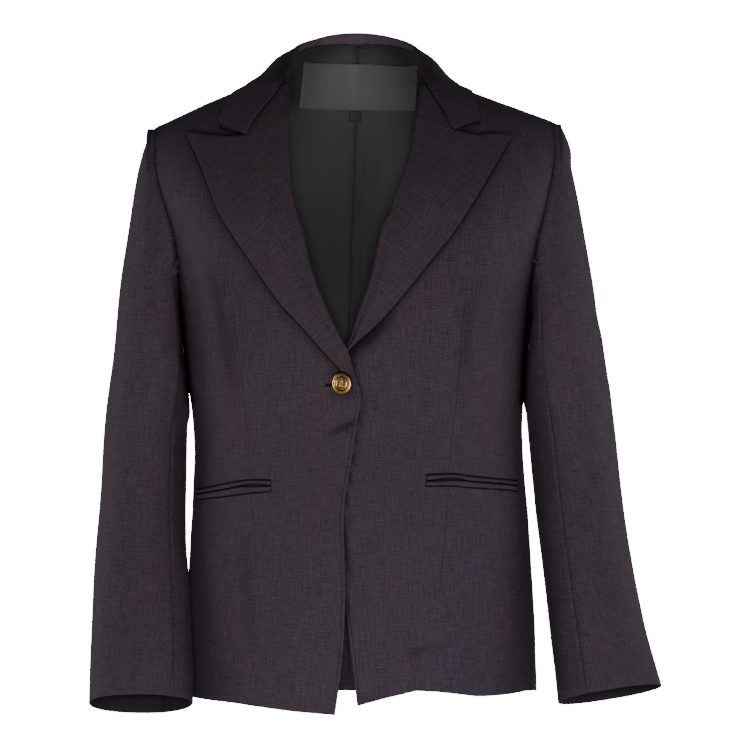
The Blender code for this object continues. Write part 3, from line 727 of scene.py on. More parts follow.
ARMHOLES = {
    # The armhole seam from the shoulder down, and on between the arm and the body, in x and z.
    RIGHT: [(-196.7, -45.7), (-200.7, -78.2), (-196.7, -97.9), (-188.9, -122.6), (-182.9, -139.3),
            (-178, -166.9), (-174.1, -216.1), (-170.1, -265.4), (-165.2, -316.6)],
    LEFT: [(193.3, -39.8), (195.3, -73.3), (192.3, -97.9), (186.4, -127.5), (177.6, -157),
           (170.7, -206), (165.8, -265), (163.8, -318.6)],
}
# How wide and how deep the shadow in it is, in even steps from the shoulder down.
ARM_WIDE = (2.4, 2.4, 2.6, 3.0, 4.0, 4.6, 5.2)
ARM_DEEP = (0.10, 0.15, 0.28, 0.55, 0.88, 0.97, 0.97)
FRONT_SHADES = {
    # line, width, depth, fade
    RIGHT: [
        (LAPEL_SHADOW[RIGHT][0], 6.0, 0.30, (0.1, 0.2)),
        (LAPEL_SHADOW[RIGHT][1], 4.0, 0.50, (0.0, 0.3)),
        ([(-147, -95, -165), (-137, -98, -200), (-129, -98, -240), (-122, -95, -290), (-117, -93, -335)],
         9.0, 0.30, (0.3, 0.4)),
        ([(-110, -92, -425), (-107, -98, -470), (-104, -104, -520), (-100, -108, -580)],
         7.0, 0.12, (0.3, 0.4)),
        ([(-4, -117, -336), (-16, -117, -342), (-34, -117, -349)], 3.2, 0.5, (0.0, 0.6)),
        ([(-14, -116, -294), (-12, -116, -303)], 11, 0.55, (0.0, 0.0)),
    ],
    LEFT: [
        (LAPEL_SHADOW[LEFT][0], 5.0, 0.30, (0.0, 0.2)),
        (LAPEL_SHADOW[LEFT][1], 4.0, 0.50, (0.0, 0.3)),
        ([(113, -103, -190), (108, -104, -240), (105, -98, -293), (99, -98, -340)], 7.5, 0.18, (0.3, 0.5)),
        ([(-12, -113, -268), (-6, -115, -282), (0, -116, -294)], 7.0, 0.85, (0.0, 0.5)),
        ([(-11, -113, -270), (10, -113, -257), (27, -112, -240), (48, -112, -215)], 7.0, 0.66, (0.0, 0.6)),
        ([(-2, -116, -291), (3, -116, -303), (5, -116, -312), (4, -116, -324), (1, -116, -338),
          (-1.5, -116, -352), (-4.5, -117, -371), (-10.5, -118, -406), (-13, -119, -428), (-10.5, -121, -467),
          (-10, -122, -500), (-11, -123, -529), (-13, -124, -560)],
         2.8, (0.5, 0.6, 0.8, 0.8, 0.7), (0.0, 0.0)),
        ([(32, -121, -556), (50, -120, -558), (70, -117, -553), (92, -112, -548)], 4.2, 0.26, (0.45, 0.45)),
    ],
}
HEM_DROP = {
    # Where the hem hangs lower in front: places across, and how much lower.
    RIGHT: ((-150, -20), (0.0, 3.2)),
    LEFT: ((-20, -6, 20, 44, 56, 74, 116, 150, 166), (4.2, 1.8, 1.0, 0.4, -1.4, 0.2, 3.2, 1.0, -1.0)),
}
# Flat width, length and area, in metres.
FRONT_FLAT = {RIGHT: (0.24, 0.66, 0.1236), LEFT: (0.26, 0.66, 0.1357)}
CLOTH = 1.6             # the suiting's wall
SEAM_DIP, SEAM_ROLL = 0.9, 4.0      # how deep and how wide the cloth rolls in at a seam
# Heights for the widths of the armhole seam's dark line, which widens downwards as painted shadow between the
# arm and the body.
ARMHOLE_HEIGHTS = (-240, -160, -110, -50)


def side_seam(spot):
    """Where a front's free edge is sewn to the back under the arm."""
    return spot[1] > -3 and spot[2] < -235


fronts, rims = {}, {}
for name, side in SIDES.items():
    front = panel("front_" + name, away_from(0), 70, 3.0 * side)
    ripple(front, 0.35, 24, 7.0 * side)
    press(front, DARTS[side], 2.6, 0.9, 0.0, (0.12, 0.12))
    press(front, DARTS[side], 12, -1.0, 0.0, (0.3, 0.3))
    press_all(front, FRONT_CREASES[side])
    spots = places(front)
    x, z = spots[:, 0] / MM, spots[:, 2] / MM
    if side == RIGHT:
        # The edge swells a little where the lapel starts to turn, beside the button.
        swell = np.exp(-((z + 313) / 13) ** 2) * np.clip((x + 16) / 14, 0, 1) * (spots[:, 1] < -0.08)
        spots[:, 0] += 4.0 * MM * swell
    drop = np.interp(spots[:, 0] / MM, *HEM_DROP[side]) * np.clip((-560 - z) / 50, 0, 1)
    spots[:, 2] -= drop * MM * (spots[:, 1] < 0)
    put(front, spots)
    mark_lines(front, [DARTS[side]], 0.36 if side == RIGHT else 0.5)
    mark_rim(front, lambda spot: abs(spot[0]) < 30 and spot[1] < -90 and -604 < spot[2] < -303,
             0.6, inset=3.3)
    # Painted shadow under the lapels' and the collar's edges: dark lines, and soft shade beside the collar's
    # points.
    mark_lines(front, LAPEL_SHADOW[side], 0.95, 2.1, "welt_marks", 6)
    mark_lines(front, [COLLAR_SHADOW[side]], 0.9, 2.0, "welt_marks", 4)
    shade_near(front, COLLAR_SHADOW[side], 3.2, 0.45)
    # The armhole seam's dark line, widened downwards as painted shadow between the arm and the body.
    mark_rim(front, lambda spot: abs(spot[0]) > 120 and spot[1] < 8 and -240 < spot[2] < -30,
             1.25, (ARMHOLE_HEIGHTS, (3.4, 2.3, 1.5, 1.2)))
    mark_rim(front, side_seam, 0.8)
    # Painted shade: in the armhole between the arm and the body, on the side facing the arm, along the front
    # shades, and more over the upper chest, which faces away from the light.
    shade_near(front, ARMHOLES[side], ARM_WIDE, ARM_DEEP)
    shade_facing(front, (side, 0, 0), 0.62, 0.18, -640, -190)
    for line, width, depth, fade in FRONT_SHADES[side]:
        shade_near(front, line, width, depth, fade)
    keep_shade(front, np.interp(places(front)[:, 2] / MM, (-340, -200), (0.0, 0.10)))
    rims["front_" + name] = rim_lines(front)
    sink_rim(front, SEAM_DIP, SEAM_ROLL, side_seam)
    fronts[side] = front

front_trees = {side: BVHTree.FromObject(front, bpy.context.evaluated_depsgraph_get())
               for side, front in fronts.items()}


def on_front(side, x, z):
    """The front's place and outward normal over a spot, in metres."""
    spot, normal, _, _ = front_trees[side].ray_cast(Vector((x, -1.0, z)), Vector((0, 1, 0)))
    if spot is None or spot.y > 0.02:
        spot, normal, _, _ = front_trees[side].find_nearest(Vector((x, -0.11 if z < -0.1 else -0.06, z)))
    if normal.y > 0:
        normal.negate()
    return spot, normal


for name, side in SIDES.items():
    width, length, area = FRONT_FLAT[side]
    give_wall(fronts[side], CLOTH, suiting, lining_cloth)
    # The facing, the turned hem and the armhole's edge are suiting inside as well, darkened as painted shade.
    line_inside(fronts[side], turned_cloth_shaded,
                lambda spot: abs(spot.x) < 72 or spot.z < -590 or (abs(spot.x) > 150 and -250 < spot.z < -30))
    declare(fronts[side], ["front_" + name])


# The backs: two long panels joined by a seam down the middle, with the side seams
# and shoulder seams sewn to the fronts.

BACK_CREASES = {
    # line, width, depth, lean, fade
    RIGHT: [
        ([(-60, 98, -100), (-75, 100, -170), (-92, 93, -240), (-105, 82, -300)], 20, -1.6, 0, (0.3, 0.4)),
        ([(-118, 60, -330), (-90, 76, -352), (-50, 86, -360)], 12, 1.0, 0, (0.4, 0.4)),
        ([(-80, 99, -600), (-86, 97, -540), (-96, 88, -470)], 18, -1.6, 0, (0.0, 0.5)),
        ([(-128, 74, -600), (-126, 72, -540), (-124, 66, -480)], 15, 1.4, 0, (0.0, 0.5)),
    ],
    LEFT: [
        ([(62, 98, -104), (74, 100, -176), (88, 94, -246), (100, 83, -306)], 20, -1.5, 0, (0.3, 0.4)),
        ([(112, 62, -322), (84, 78, -346), (44, 87, -356)], 12, 1.1, 0, (0.4, 0.4)),
        ([(88, 99, -600), (94, 96, -540), (100, 88, -470)], 18, -1.6, 0, (0.0, 0.5)),
        ([(140, 70, -600), (134, 70, -545), (128, 66, -490)], 15, 1.4, 0, (0.0, 0.5)),
    ],
}
front_rims = np.concatenate([rims["front_right"], rims["front_left"]])


def sewn_edge(spot):
    """Where a back's free edge is its middle seam or its side seam."""
    return abs(spot[0]) < 0.8 or (spot[1] < 3 and spot[2] < -235)


for name, side in SIDES.items():
    back = panel("back_" + name, away_from(0), 80, 5.0)
    press_all(back, BACK_CREASES[side])
    sewn = sew_to(back, front_rims, 4.0)
    spots = places(back)
    middle = [index for index in rim_verts(back) if abs(spots[index, 0]) < 0.0012]
    spots[middle, 0] = 0.0
    put(back, spots)
    rims["back_" + name] = rim_lines(back)
    sink_rim(back, SEAM_DIP, SEAM_ROLL, sewn_edge)
    mark_rim(back, sewn_edge, 0.8)
    # The armhole seam's dark line, widened downwards as painted shadow, and painted shade between the arm and
    # the body.
    mark_rim(back, lambda spot: abs(spot[0]) > 120 and -240 < spot[2] < -30,
             1.25, (ARMHOLE_HEIGHTS, (2.8, 1.7, 1.2, 1.0)))
    shade_near(back, ARMHOLES[side], ARM_WIDE, ARM_DEEP)
    shade_facing(back, (side, 0, 0), 0.62, 0.18, -640, -190)
    tuck_in(back, sewn, lambda co: (0, -3.5, -2.6) if co.z > -0.06 else (-side * 2.4, -3.5, 0))
    if side == RIGHT:
        tuck_in(back, set(middle), lambda co: (3.5, -2.2, 0))
    give_wall(back, CLOTH, suiting, lining_cloth)
    # The turned hem inside is the darkened suiting: painted shade.
    line_inside(back, turned_cloth_shaded, lambda spot: spot.z < -592)
    declare(back, ["back_" + name])


# The sleeves: a two-piece sleeve each side, set into the armhole with a slightly
# roped head, and lined; the cuff is a plain turned hem.

# The cut of each half, in metres: its flat width and length, and its area.
SLEEVE_FLAT = {"sleeve_upper_": ((0.24, 0.62), 0.1085), "sleeve_under_": ((0.13, 0.47), 0.0400)}
SLEEVE_CREASES = {
    # line, width, depth, lean, fade
    RIGHT: [
        ([(-178, -56, -330), (-196, -52, -352), (-214, -40, -362)], 7, 1.0, 0.4, (0.2, 0.5)),
        ([(-172, -74, -570), (-176, -60, -590), (-179, -50, -606)], 6, 1.2, 0.4, (0.4, 0.0)),
        ([(-200, -92, -600), (-206, -86, -560), (-212, -78, -510)], 12, -1.3, 0.0, (0.0, 0.5)),
        ([(-232, -60, -150), (-238, -58, -220), (-244, -54, -300)], 14, -1.4, 0.0, (0.4, 0.4)),
        ([(-184, -60, -380), (-190, -66, -430), (-192, -76, -500)], 9, 1.0, 0.0, (0.4, 0.4)),
        ([(-214, -85, -490), (-216, -90, -560), (-217, -92, -606)], 6, 1.3, 0.6, (0.6, 0.0)),
        ([(-210, -60, -130), (-214, -66, -230), (-213, -70, -330)], 12, 1.1, 0.3, (0.4, 0.4)),
        # The inner side leans against the body under the arm and again below the waist.
        ([(-168, -30, -258), (-167, -32, -296), (-165, -35, -347)], 16, -4.3, 0.0, (0.3, 0.22)),
        ([(-167, -50, -446), (-167, -58, -510), (-166, -66, -570), (-165, -72, -606)],
         22, -4.2, 0.0, (0.35, 0.0)),
    ],
    LEFT: [
        ([(182, -32, -366), (190, -41, -369), (202, -48, -366), (214, -52, -360)], 5, 1.3, 0.5, (0.1, 0.6)),
        ([(184, -40, -504), (194, -53, -511), (206, -65, -507), (216, -70, -500)], 5, 1.2, 0.5, (0.1, 0.6)),
        ([(186, -50, -440), (200, -58, -446), (214, -64, -440)], 7, 0.7, 0.0, (0.2, 0.6)),
        ([(262, -80, -590), (258, -80, -540), (250, -76, -480)], 12, -1.3, 0.0, (0.0, 0.5)),
        ([(236, -60, -150), (244, -58, -220), (250, -54, -300)], 14, -1.4, 0.0, (0.4, 0.4)),
        ([(226, -84, -470), (234, -90, -540), (240, -94, -600)], 8, 1.2, -0.5, (0.5, 0.0)),
        ([(212, -60, -130), (220, -62, -230), (226, -62, -330)], 12, 1.1, 0.3, (0.4, 0.4)),
        ([(166, -30, -258), (165, -32, -292), (164, -35, -334)], 16, -3.9, 0.0, (0.3, 0.22)),
        ([(234, -20, -225), (238, -20, -250), (243, -20, -278), (247, -22, -305), (252, -24, -340)],
         20, -4.0, 0.0, (0.3, 0.35)),
        ([(200, -10, -34), (206, -12, -48), (212, -14, -66), (216, -14, -84)], 14, -4.4, 0.0, (0.2, 0.4)),
    ],
}
armhole_rims = np.concatenate(list(rims.values()))
for name, side in SIDES.items():
    sleeves, seated = {}, {}
    for half in SLEEVE_FLAT:
        sleeve = panel(half + name, away_from(side * 215), 60, 9.0 + side)
        press_all(sleeve, SLEEVE_CREASES[side])
        seated[half] = sew_to(sleeve, armhole_rims, 6.0)
        sleeves[half] = sleeve
    sew_to(sleeves["sleeve_under_"], rim_lines(sleeves["sleeve_upper_"]), 4.0)
    for half, (flat, area) in SLEEVE_FLAT.items():
        sleeve = sleeves[half]
        sink_rim(sleeve, SEAM_DIP, SEAM_ROLL, lambda spot: -590 < spot[2] < -160)
        mark_rim(sleeve, lambda spot: -590 < spot[2] < -208 or spot[2] > -165, 0.8)
        # Painted shade in the armhole and on the side that faces the body.
        shade_near(sleeve, ARMHOLES[side], ARM_WIDE, ARM_DEEP)
        shade_facing(sleeve, (-side, 0, 0), 0.58, 0.18, -640, 0)
        held = seated[half]
        if half == "sleeve_under_":
            # Its front corner lies under the upper sleeve and has no seam allowance.
            spots = places(sleeve)
            held = {index for index in held if spots[index, 1] > -0.02}
        tuck_in(sleeve, held, lambda co: (-side * 4.4, -3.8 if co.y > 0 else 3.8, 0))
        give_wall(sleeve, CLOTH, suiting, lining_cloth)
        # The front corner is turned over at the armhole, so its inside shows there.
        line_inside(sleeve, suiting, lambda spot: spot.y < -30 and -206 < spot.z < -160)
        # The hem and the armhole's edge inside are the darkened turned suiting, painted shade, and inside the
        # cuff painted shade deepens upwards from the hem.
        line_inside(sleeve, turned_cloth_shaded, lambda spot: spot.z < -572 or (abs(spot.x) < 200 and spot.z > -260))
        shade_inside(sleeve, lambda spot: spot[2] < -596, 16, 0.86)
        declare(sleeve, [half + name])

# A strip of the same cloth closes each armhole seam from the inside, with painted shade dark in the seam. Its
# columns: how far towards the sleeve, and how deep the painted shade is.
STRIP = ((9, 0.0), (6, 0.12), (4, 0.4), (2.6, 0.85), (1, 0.97), (-7, 0.97))
STRIP_UNDER = 2.6       # how far it lies inside the seam
ARM_MIDDLE = (-0.005, -0.140)       # the armhole's middle, in metres of y and z


def in_armhole(a, b, side):
    """An edge that runs round the armhole, not along the shoulder or the side seam."""
    return (min(a[0] * side, b[0] * side) >= 0.150 and min(a[2], b[2]) >= -0.262
            and abs(a[0] - b[0]) <= 0.6 * math.dist(a, b))


for name, side in SIDES.items():
    mesh = bmesh.new()
    # Each point of the strip keeps its painted shade.
    dark = mesh.verts.layers.float.new("shade_marks")
    for a, b in armhole_rims:
        if not in_armhole(a, b, side):
            continue
        rows = []
        for spot in (a, b):
            inwards = Vector((0, ARM_MIDDLE[0] - spot[1], ARM_MIDDLE[1] - spot[2])).normalized()
            row = []
            for step, value in STRIP:
                off = inwards * STRIP_UNDER + Vector((side * step, 0, 0))
                vert = mesh.verts.new(Vector(spot) + off * MM)
                vert[dark] = value
                row.append(vert)
            rows.append(row)
        for k in range(len(STRIP) - 1):
            mesh.faces.new((rows[0][k], rows[1][k], rows[1][k + 1], rows[0][k + 1]))
    bmesh.ops.remove_doubles(mesh, verts=mesh.verts, dist=0.0002)
    bmesh.ops.recalc_face_normals(mesh, faces=mesh.faces)
    strip = plain("armhole_tape_" + name, mesh)
    lay_pattern(strip)
    give_wall(strip, 0.6, suiting, suiting, 0)
    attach(strip, "root")


# The lapels: the tops of the fronts and their facings, turned back along the roll
# line. Each one rolls softly over from inside the front and lies on the chest.

LAPELS = {
    RIGHT: {
        "roll": [(3.4, -306), (-0.4, -295.5), (-4.2, -286.5), (-9.8, -269), (-22.4, -244), (-35.2, -214.6),
                 (-47.1, -180.3), (-53.4, -151.4), (-59.6, -132.6), (-65, -107.4),
                 (-67.6, -64.7), (-69, -24), (-70, -6)],
        "outer": [(0.9, -306.3), (-5.4, -296.2), (-16.3, -283.2), (-32.8, -265.6), (-51.2, -244),
                  (-69.8, -224.5), (-84.3, -205.8), (-101.1, -181), (-117.8, -156.9), (-132.7, -133.7),
                  (-143.8, -106), (-155.2, -77.7), (-169.4, -51.5)],
        "top": [(-70, -6), (-78.2, -17.1), (-87.8, -30.5), (-97.3, -44.8), (-105.5, -57.6),
                (-123.6, -58.6), (-145.2, -56), (-169.4, -51.5)],
    },
    LEFT: {
        "roll": [(-10.8, -268.2), (-2.2, -250.3), (5.9, -225.2), (15.1, -200.8), (22.4, -169.2),
                 (26.6, -150.5), (33.8, -134.9), (43.1, -107.5), (52.6, -80), (57.9, -49.6),
                 (62.5, -24), (65.5, -8)],
        "outer": [(-9.5, -267.7), (2.9, -256.4), (19.3, -242), (37.9, -221.5), (56.4, -198.8),
                  (72.9, -178.2), (91.5, -155.2), (112.6, -123.7), (125.4, -102.1),
                  (140.7, -75.9), (152.1, -56.6)],
        "top": [(65.5, -8), (72.1, -16.8), (78.8, -28.3), (85.5, -39.7), (92.3, -52.6),
                (100.7, -54), (117.3, -57.1), (136.9, -54.9), (152.1, -56.6)],
    },
}
# Flat width, length and area, in metres.
LAPEL_FLAT = {RIGHT: (0.12, 0.34, 0.0190), LEFT: (0.12, 0.31, 0.0168)}
LAPEL_CREASES = {
    # line, width, depth, lean, fade
    RIGHT: [([(-88, -72, -64), (-104, -92, -96), (-118, -104, -124)], 12, 0.7, 0, (0.4, 0.4)),
            ([(-60, -110, -150), (-82, -112, -176), (-98, -110, -186)], 15, 0.8, 0, (0.4, 0.4))],
    LEFT: [([(84, -84, -70), (98, -98, -92), (108, -104, -112)], 12, 0.8, 0, (0.4, 0.4)),
           ([(44, -110, -120), (66, -112, -150), (84, -110, -166)], 14, 0.9, 0, (0.4, 0.4))],
}
TURN = (-110, -85, -60, -36, -12, 12, 36, 60, 78)      # degrees round the roll, from inside the front
CURL = 3.1              # the roll's radius
REST = 0.6              # how far the lapel's foot is sunk where it runs out
EDGE_SHADE, EDGE_SHADE_WIDE = 0.85, 1.3    # how dark and how wide the painted shade along a turned edge is


def on_curve(points, k, t):
    """The place a share t of the way on from point k, on a soft curve through the points."""
    p1, p2 = points[k], points[k + 1]
    m1 = (p2 - points[k - 1]) / 2 if k > 0 else p2 - p1
    m2 = (points[k + 2] - p1) / 2 if k + 2 < len(points) else p2 - p1
    return (p1 * (2 * t ** 3 - 3 * t * t + 1) + m1 * (t ** 3 - 2 * t * t + t)
            + p2 * (3 * t * t - 2 * t ** 3) + m2 * (t ** 3 - t * t))


def lengths_along(points):
    """How far along the line each of its points is."""
    return np.concatenate([[0], np.cumsum(np.linalg.norm(np.diff(points, axis=0), axis=1))])


def smooth_line(points, count):
    """Evenly spaced places on a soft curve through the points."""
    points = np.array(points, dtype=float)
    lengths = lengths_along(points)
    out = []
    for target in np.linspace(0, lengths[-1], count):
        k = min(max(int(np.searchsorted(lengths, target)) - 1, 0), len(points) - 2)
        out.append(on_curve(points, k, (target - lengths[k]) / (lengths[k + 1] - lengths[k])))
    return np.array(out)


def sharp_line(points, count):
    """Evenly spaced places straight along the points, keeping their corners."""
    points = np.array(points, dtype=float)
    lengths = lengths_along(points)
    marks = np.linspace(0, lengths[-1], count)
    return np.stack([np.interp(marks, lengths, points[:, axis]) for axis in (0, 1)], axis=1)


def grid_sheet(name, rows):
    """A sheet of quads through rows of points."""
    mesh = bmesh.new()
    made = [[mesh.verts.new(spot) for spot in row] for row in rows]
    for low, high in zip(made, made[1:]):
        for k in range(len(low) - 1):
            mesh.faces.new((low[k], low[k + 1], high[k + 1], high[k]))
    bmesh.ops.recalc_face_normals(mesh, faces=mesh.faces)
    return plain(name, mesh)


def face_forward(piece, way):
    """Turns a sheet over if it faces away from the given direction."""
    if sum(face.normal.dot(Vector(way)) * face.area for face in piece.data.polygons) < 0:
        piece.data.flip_normals()


def along_rows(values, times):
    """The same grid of values, each row eased towards its neighbours."""
    for _ in range(times):
        values[1:-1] = (values[:-2] + 2 * values[1:-1] + values[2:]) / 4
    return values


for name, side in SIDES.items():
    lines = LAPELS[side]
    rows, columns = 120, 36
    roll = smooth_line(lines["roll"], rows)
    outer = smooth_line(lines["outer"], rows)
    top = sharp_line(lines["top"], columns + 1)
    flat = np.zeros((rows, columns + 1, 2))
    feet = np.zeros((rows, columns + 1, 3))
    faces = np.zeros((rows, columns + 1, 3))
    for j in range(rows):
        r = j / (rows - 1)
        for k in range(columns + 1):
            s = k / columns
            low = roll[0] + (outer[0] - roll[0]) * s
            corner = ((roll[0] * (1 - s) + outer[0] * s) * (1 - r)
                      + (roll[-1] * (1 - s) + outer[-1] * s) * r)
            flat[j, k] = roll[j] + (outer[j] - roll[j]) * s + low * (1 - r) + top[k] * r - corner
            foot, normal = on_front(side, flat[j, k, 0] * MM, flat[j, k, 1] * MM)
            feet[j, k], faces[j, k] = foot, normal
    # The front ends near the roll, so the lapel carries its face on from the chest.
    for k in range(5):
        feet[:, k, 1] = feet[:, 5, 1] + (feet[:, 5, 1] - feet[:, 9, 1]) * (5 - k) / 4
        faces[:, k] = faces[:, 5]
    feet, faces = along_rows(feet, 4), along_rows(faces, 4)
    grid = []
    for j in range(rows):
        r = j / (rows - 1)
        # The right one runs out into the front edge beside the button.
        ending = min(r / 0.05, 1) if side == RIGHT else 1.0
        curl = CURL * min(1.0, 0.3 + r * 5)
        full = math.sin(math.pi * min(r * 1.15, 1.0)) ** 0.6
        line = []
        for k in range(columns + 1):
            s = k / columns
            swell = math.sin(math.pi * min(s * 1.5, 1.0)) ** 1.2 * 3.8 * full
            lift = 3.6 + (curl * 2 - 5.6) * max(1 - s * 3.2, 0) ** 2 + swell
            lift = (lift + REST) * ending - REST
            normal = Vector(faces[j, k]).normalized()
            spot = Vector((flat[j, k, 0] * MM, feet[j, k, 1], flat[j, k, 1] * MM))
            line.append(spot + normal * lift * MM)
        normal = Vector(faces[j, 0]).normalized()
        inward = Vector((-side, 0, 0))
        inward = (inward - normal * inward.dot(normal)).normalized()
        middle = line[0] - normal * curl * MM
        turned = []
        for angle in np.radians(TURN):
            turned.append(middle + (inward * math.cos(angle) + normal * math.sin(angle)) * curl * MM)
        grid.append(turned + line)
    lapel = grid_sheet("lapel_" + name + "_cloth", grid)
    face_forward(lapel, (0, -1, 0))
    lay_pattern(lapel, 90 + 34 * side)
    ripple(lapel, 0.8, 45, 12.0 + side)
    press_all(lapel, LAPEL_CREASES[side])
    # Painted shade along the turned edge: up the outer side and along the top to the collar.
    edge = [row[-1] / MM for row in grid[2:]] + [spot / MM for spot in grid[-1][-2:24:-1]]
    mark_lines(lapel, [edge], EDGE_SHADE, EDGE_SHADE_WIDE)
    width, length, area = LAPEL_FLAT[side]
    give_wall(lapel, 1.9, facing_cloth_shaded, facing_cloth_shaded, 0.8)
    declare(lapel, ["lapel_" + name])


# The collar: one shaped strip of suiting. It stands up inside the back of the neck,
# turns over at the top and falls outside to both gorge seams, where it meets the lapels.

# The band's lower edge inside the neck, in x and z.
COLLAR_BAND = [(-64.5, 33.5), (-52.3, 39.9), (-38, 44.2), (-16.8, 47), (0, 47.6), (16, 47.2),
               (34.4, 44.2), (51.6, 38.8), (61.5, 33.3), (64.5, 28)]
FOLD = 2.9              # the radius of the turned top
TUCKED = 1.0            # the radius of the edge turned under, where there is no band
FOLD_TURN = (16, 36, 58, 80, 102, 124, 142)     # degrees over the top


def grid_of(piece, start):
    """A regular sheet's points as rows, from the corner nearest the start, along its long edge."""
    mesh = mesh_of(piece)
    corners = [vert for vert in mesh.verts if len(vert.link_edges) == 2]
    first = min(corners, key=lambda vert: (vert.co - Vector(start) * MM).length)

    def walk(vert, edge):
        line = [vert]
        while True:
            vert = edge.other_vert(vert)
            line.append(vert)
            if vert in corners:
                return line
            edge = next(other for other in vert.link_edges if other.is_boundary and other is not edge)

    line = max((walk(first, edge) for edge in first.link_edges), key=len)
    rows, used = [line], set(line)
    while True:
        after = []
        for vert in rows[-1]:
            after += [edge.other_vert(vert) for edge in vert.link_edges if edge.other_vert(vert) not in used]
        if len(after) != len(line):
            break
        rows.append(after)
        used.update(after)
    values = np.array([[tuple(vert.co) for vert in row] for row in rows])
    mesh.free()
    return values


def fill_in(points, steps):
    """More places between each two, on a soft curve through them all."""
    points = np.array(points, dtype=float)
    out = [on_curve(points, k, step / steps) for k in range(len(points) - 1) for step in range(steps)]
    return np.array(out + [points[-1]])


found = face_sheet("collar_found", "collar_fall", away_from(0))
fall = grid_of(found, (-107, -90, -57))
bpy.data.objects.remove(found)
middle = fall.shape[1] // 2
if fall[0, middle, 2] < fall[-1, middle, 2]:
    fall = fall[::-1]
if fall[0, 0, 0] > 0:
    fall = fall[:, ::-1]
stations = fall.shape[1]
lines = []
for j in range(stations):
    ahead = Vector(fall[0, min(j + 1, stations - 1)]) - Vector(fall[0, max(j - 1, 0)])
    ahead.normalize()
    edge = Vector(fall[0, j])
    over = edge - Vector(fall[1, j])
    over = (over - ahead * over.dot(ahead)).normalized()
    normal = ahead.cross(over).normalized()
    if normal.dot(Vector((edge.x, edge.y + 0.02, 0.02))) < 0:
        normal.negate()
    # The band runs round the neck only: near the collar's two ends the edge is just turned under.
    at_neck = min(max((min(j, stations - 1 - j) - 8) / 2, 0), 1)
    r = FOLD * MM
    turned = [edge - normal * r + normal * r * math.cos(angle) + over * r * math.sin(angle)
              for angle in np.radians(FOLD_TURN)]
    foot_z = min(np.interp(edge.x / MM, *zip(*COLLAR_BAND)) * MM, edge.z - 5 * MM)
    foot = Vector((turned[-1].x * 1.005, turned[-1].y + 0.4 * MM, foot_z))
    band = [turned[-1].lerp(foot, t / 6) for t in range(1, 7)]
    neck = turned + band
    r = TUCKED * MM
    tuck = []
    for k in range(len(neck)):
        t = (k + 1) / len(neck)
        angle = math.radians(180 * min(t * 1.6, 1))
        back = max(t - 0.6, 0) * 7.0 * MM
        tuck.append(edge - normal * r + normal * r * math.cos(angle) + over * (r * math.sin(angle) - back))
    inside = [a.lerp(b, at_neck) for a, b in zip(tuck, neck)]
    outside = fill_in(fall[:, j], 5)
    lines.append(np.array([tuple(p) for p in inside[::-1]] + [tuple(p) for p in outside]))
lines = np.array(lines)
collar_grid = np.stack([fill_in(lines[:, k], 5) for k in range(lines.shape[1])], axis=1)
collar = grid_sheet("collar_cloth", collar_grid)
widest = max(collar.data.polygons, key=lambda face: face.center.y)
if widest.normal.y < 0:
    collar.data.flip_normals()
lay_pattern(collar)
ripple(collar, 0.45, 40, 21.0)
# Painted shade along the collar's turned edge.
edge = np.concatenate([collar_grid[0, 14:], collar_grid[1:-1, -1], collar_grid[-1, :13:-1]]) / MM
mark_lines(collar, [edge], EDGE_SHADE, EDGE_SHADE_WIDE)
collar_foot = collar_grid[:, 0].copy()
give_wall(collar, 1.7, facing_cloth_shaded, facing_cloth_shaded, 0.7)
# The band inside the neck takes the lightened suiting: painted light.
collar.data.materials.append(band_cloth_lightened)
for face in collar.data.polygons:
    outward = face.normal.x * math.copysign(1, face.center.x)
    if face.normal.y < 0.35 and outward < 0.3 and face.center.y > 0.024 and face.center.z > 0.026:
        face.material_index = 2
declare(collar, ["collar_fall", "collar_stand"])


# The back lining, in two halves with a seam down the middle and a pleat for ease
# beside it. At the neck it runs up to the collar's band.

LINING_FOLDS = [
    # line, width, depth, lean, fade
    ([(22, 84, -40), (16, 92, -85), (13, 95, -130), (9, 95, -178)], 3.6, -2.0, 0.6, (0.1, 0.6)),
    ([(-52, 62, 22), (-50, 66, 8), (-49, 70, -6)], 3.0, -0.9, 0.0, (0.3, 0.5)),
    ([(-36, 90, -90), (-30, 95, -150), (-34, 96, -220)], 10, -0.9, 0.0, (0.4, 0.4)),
]
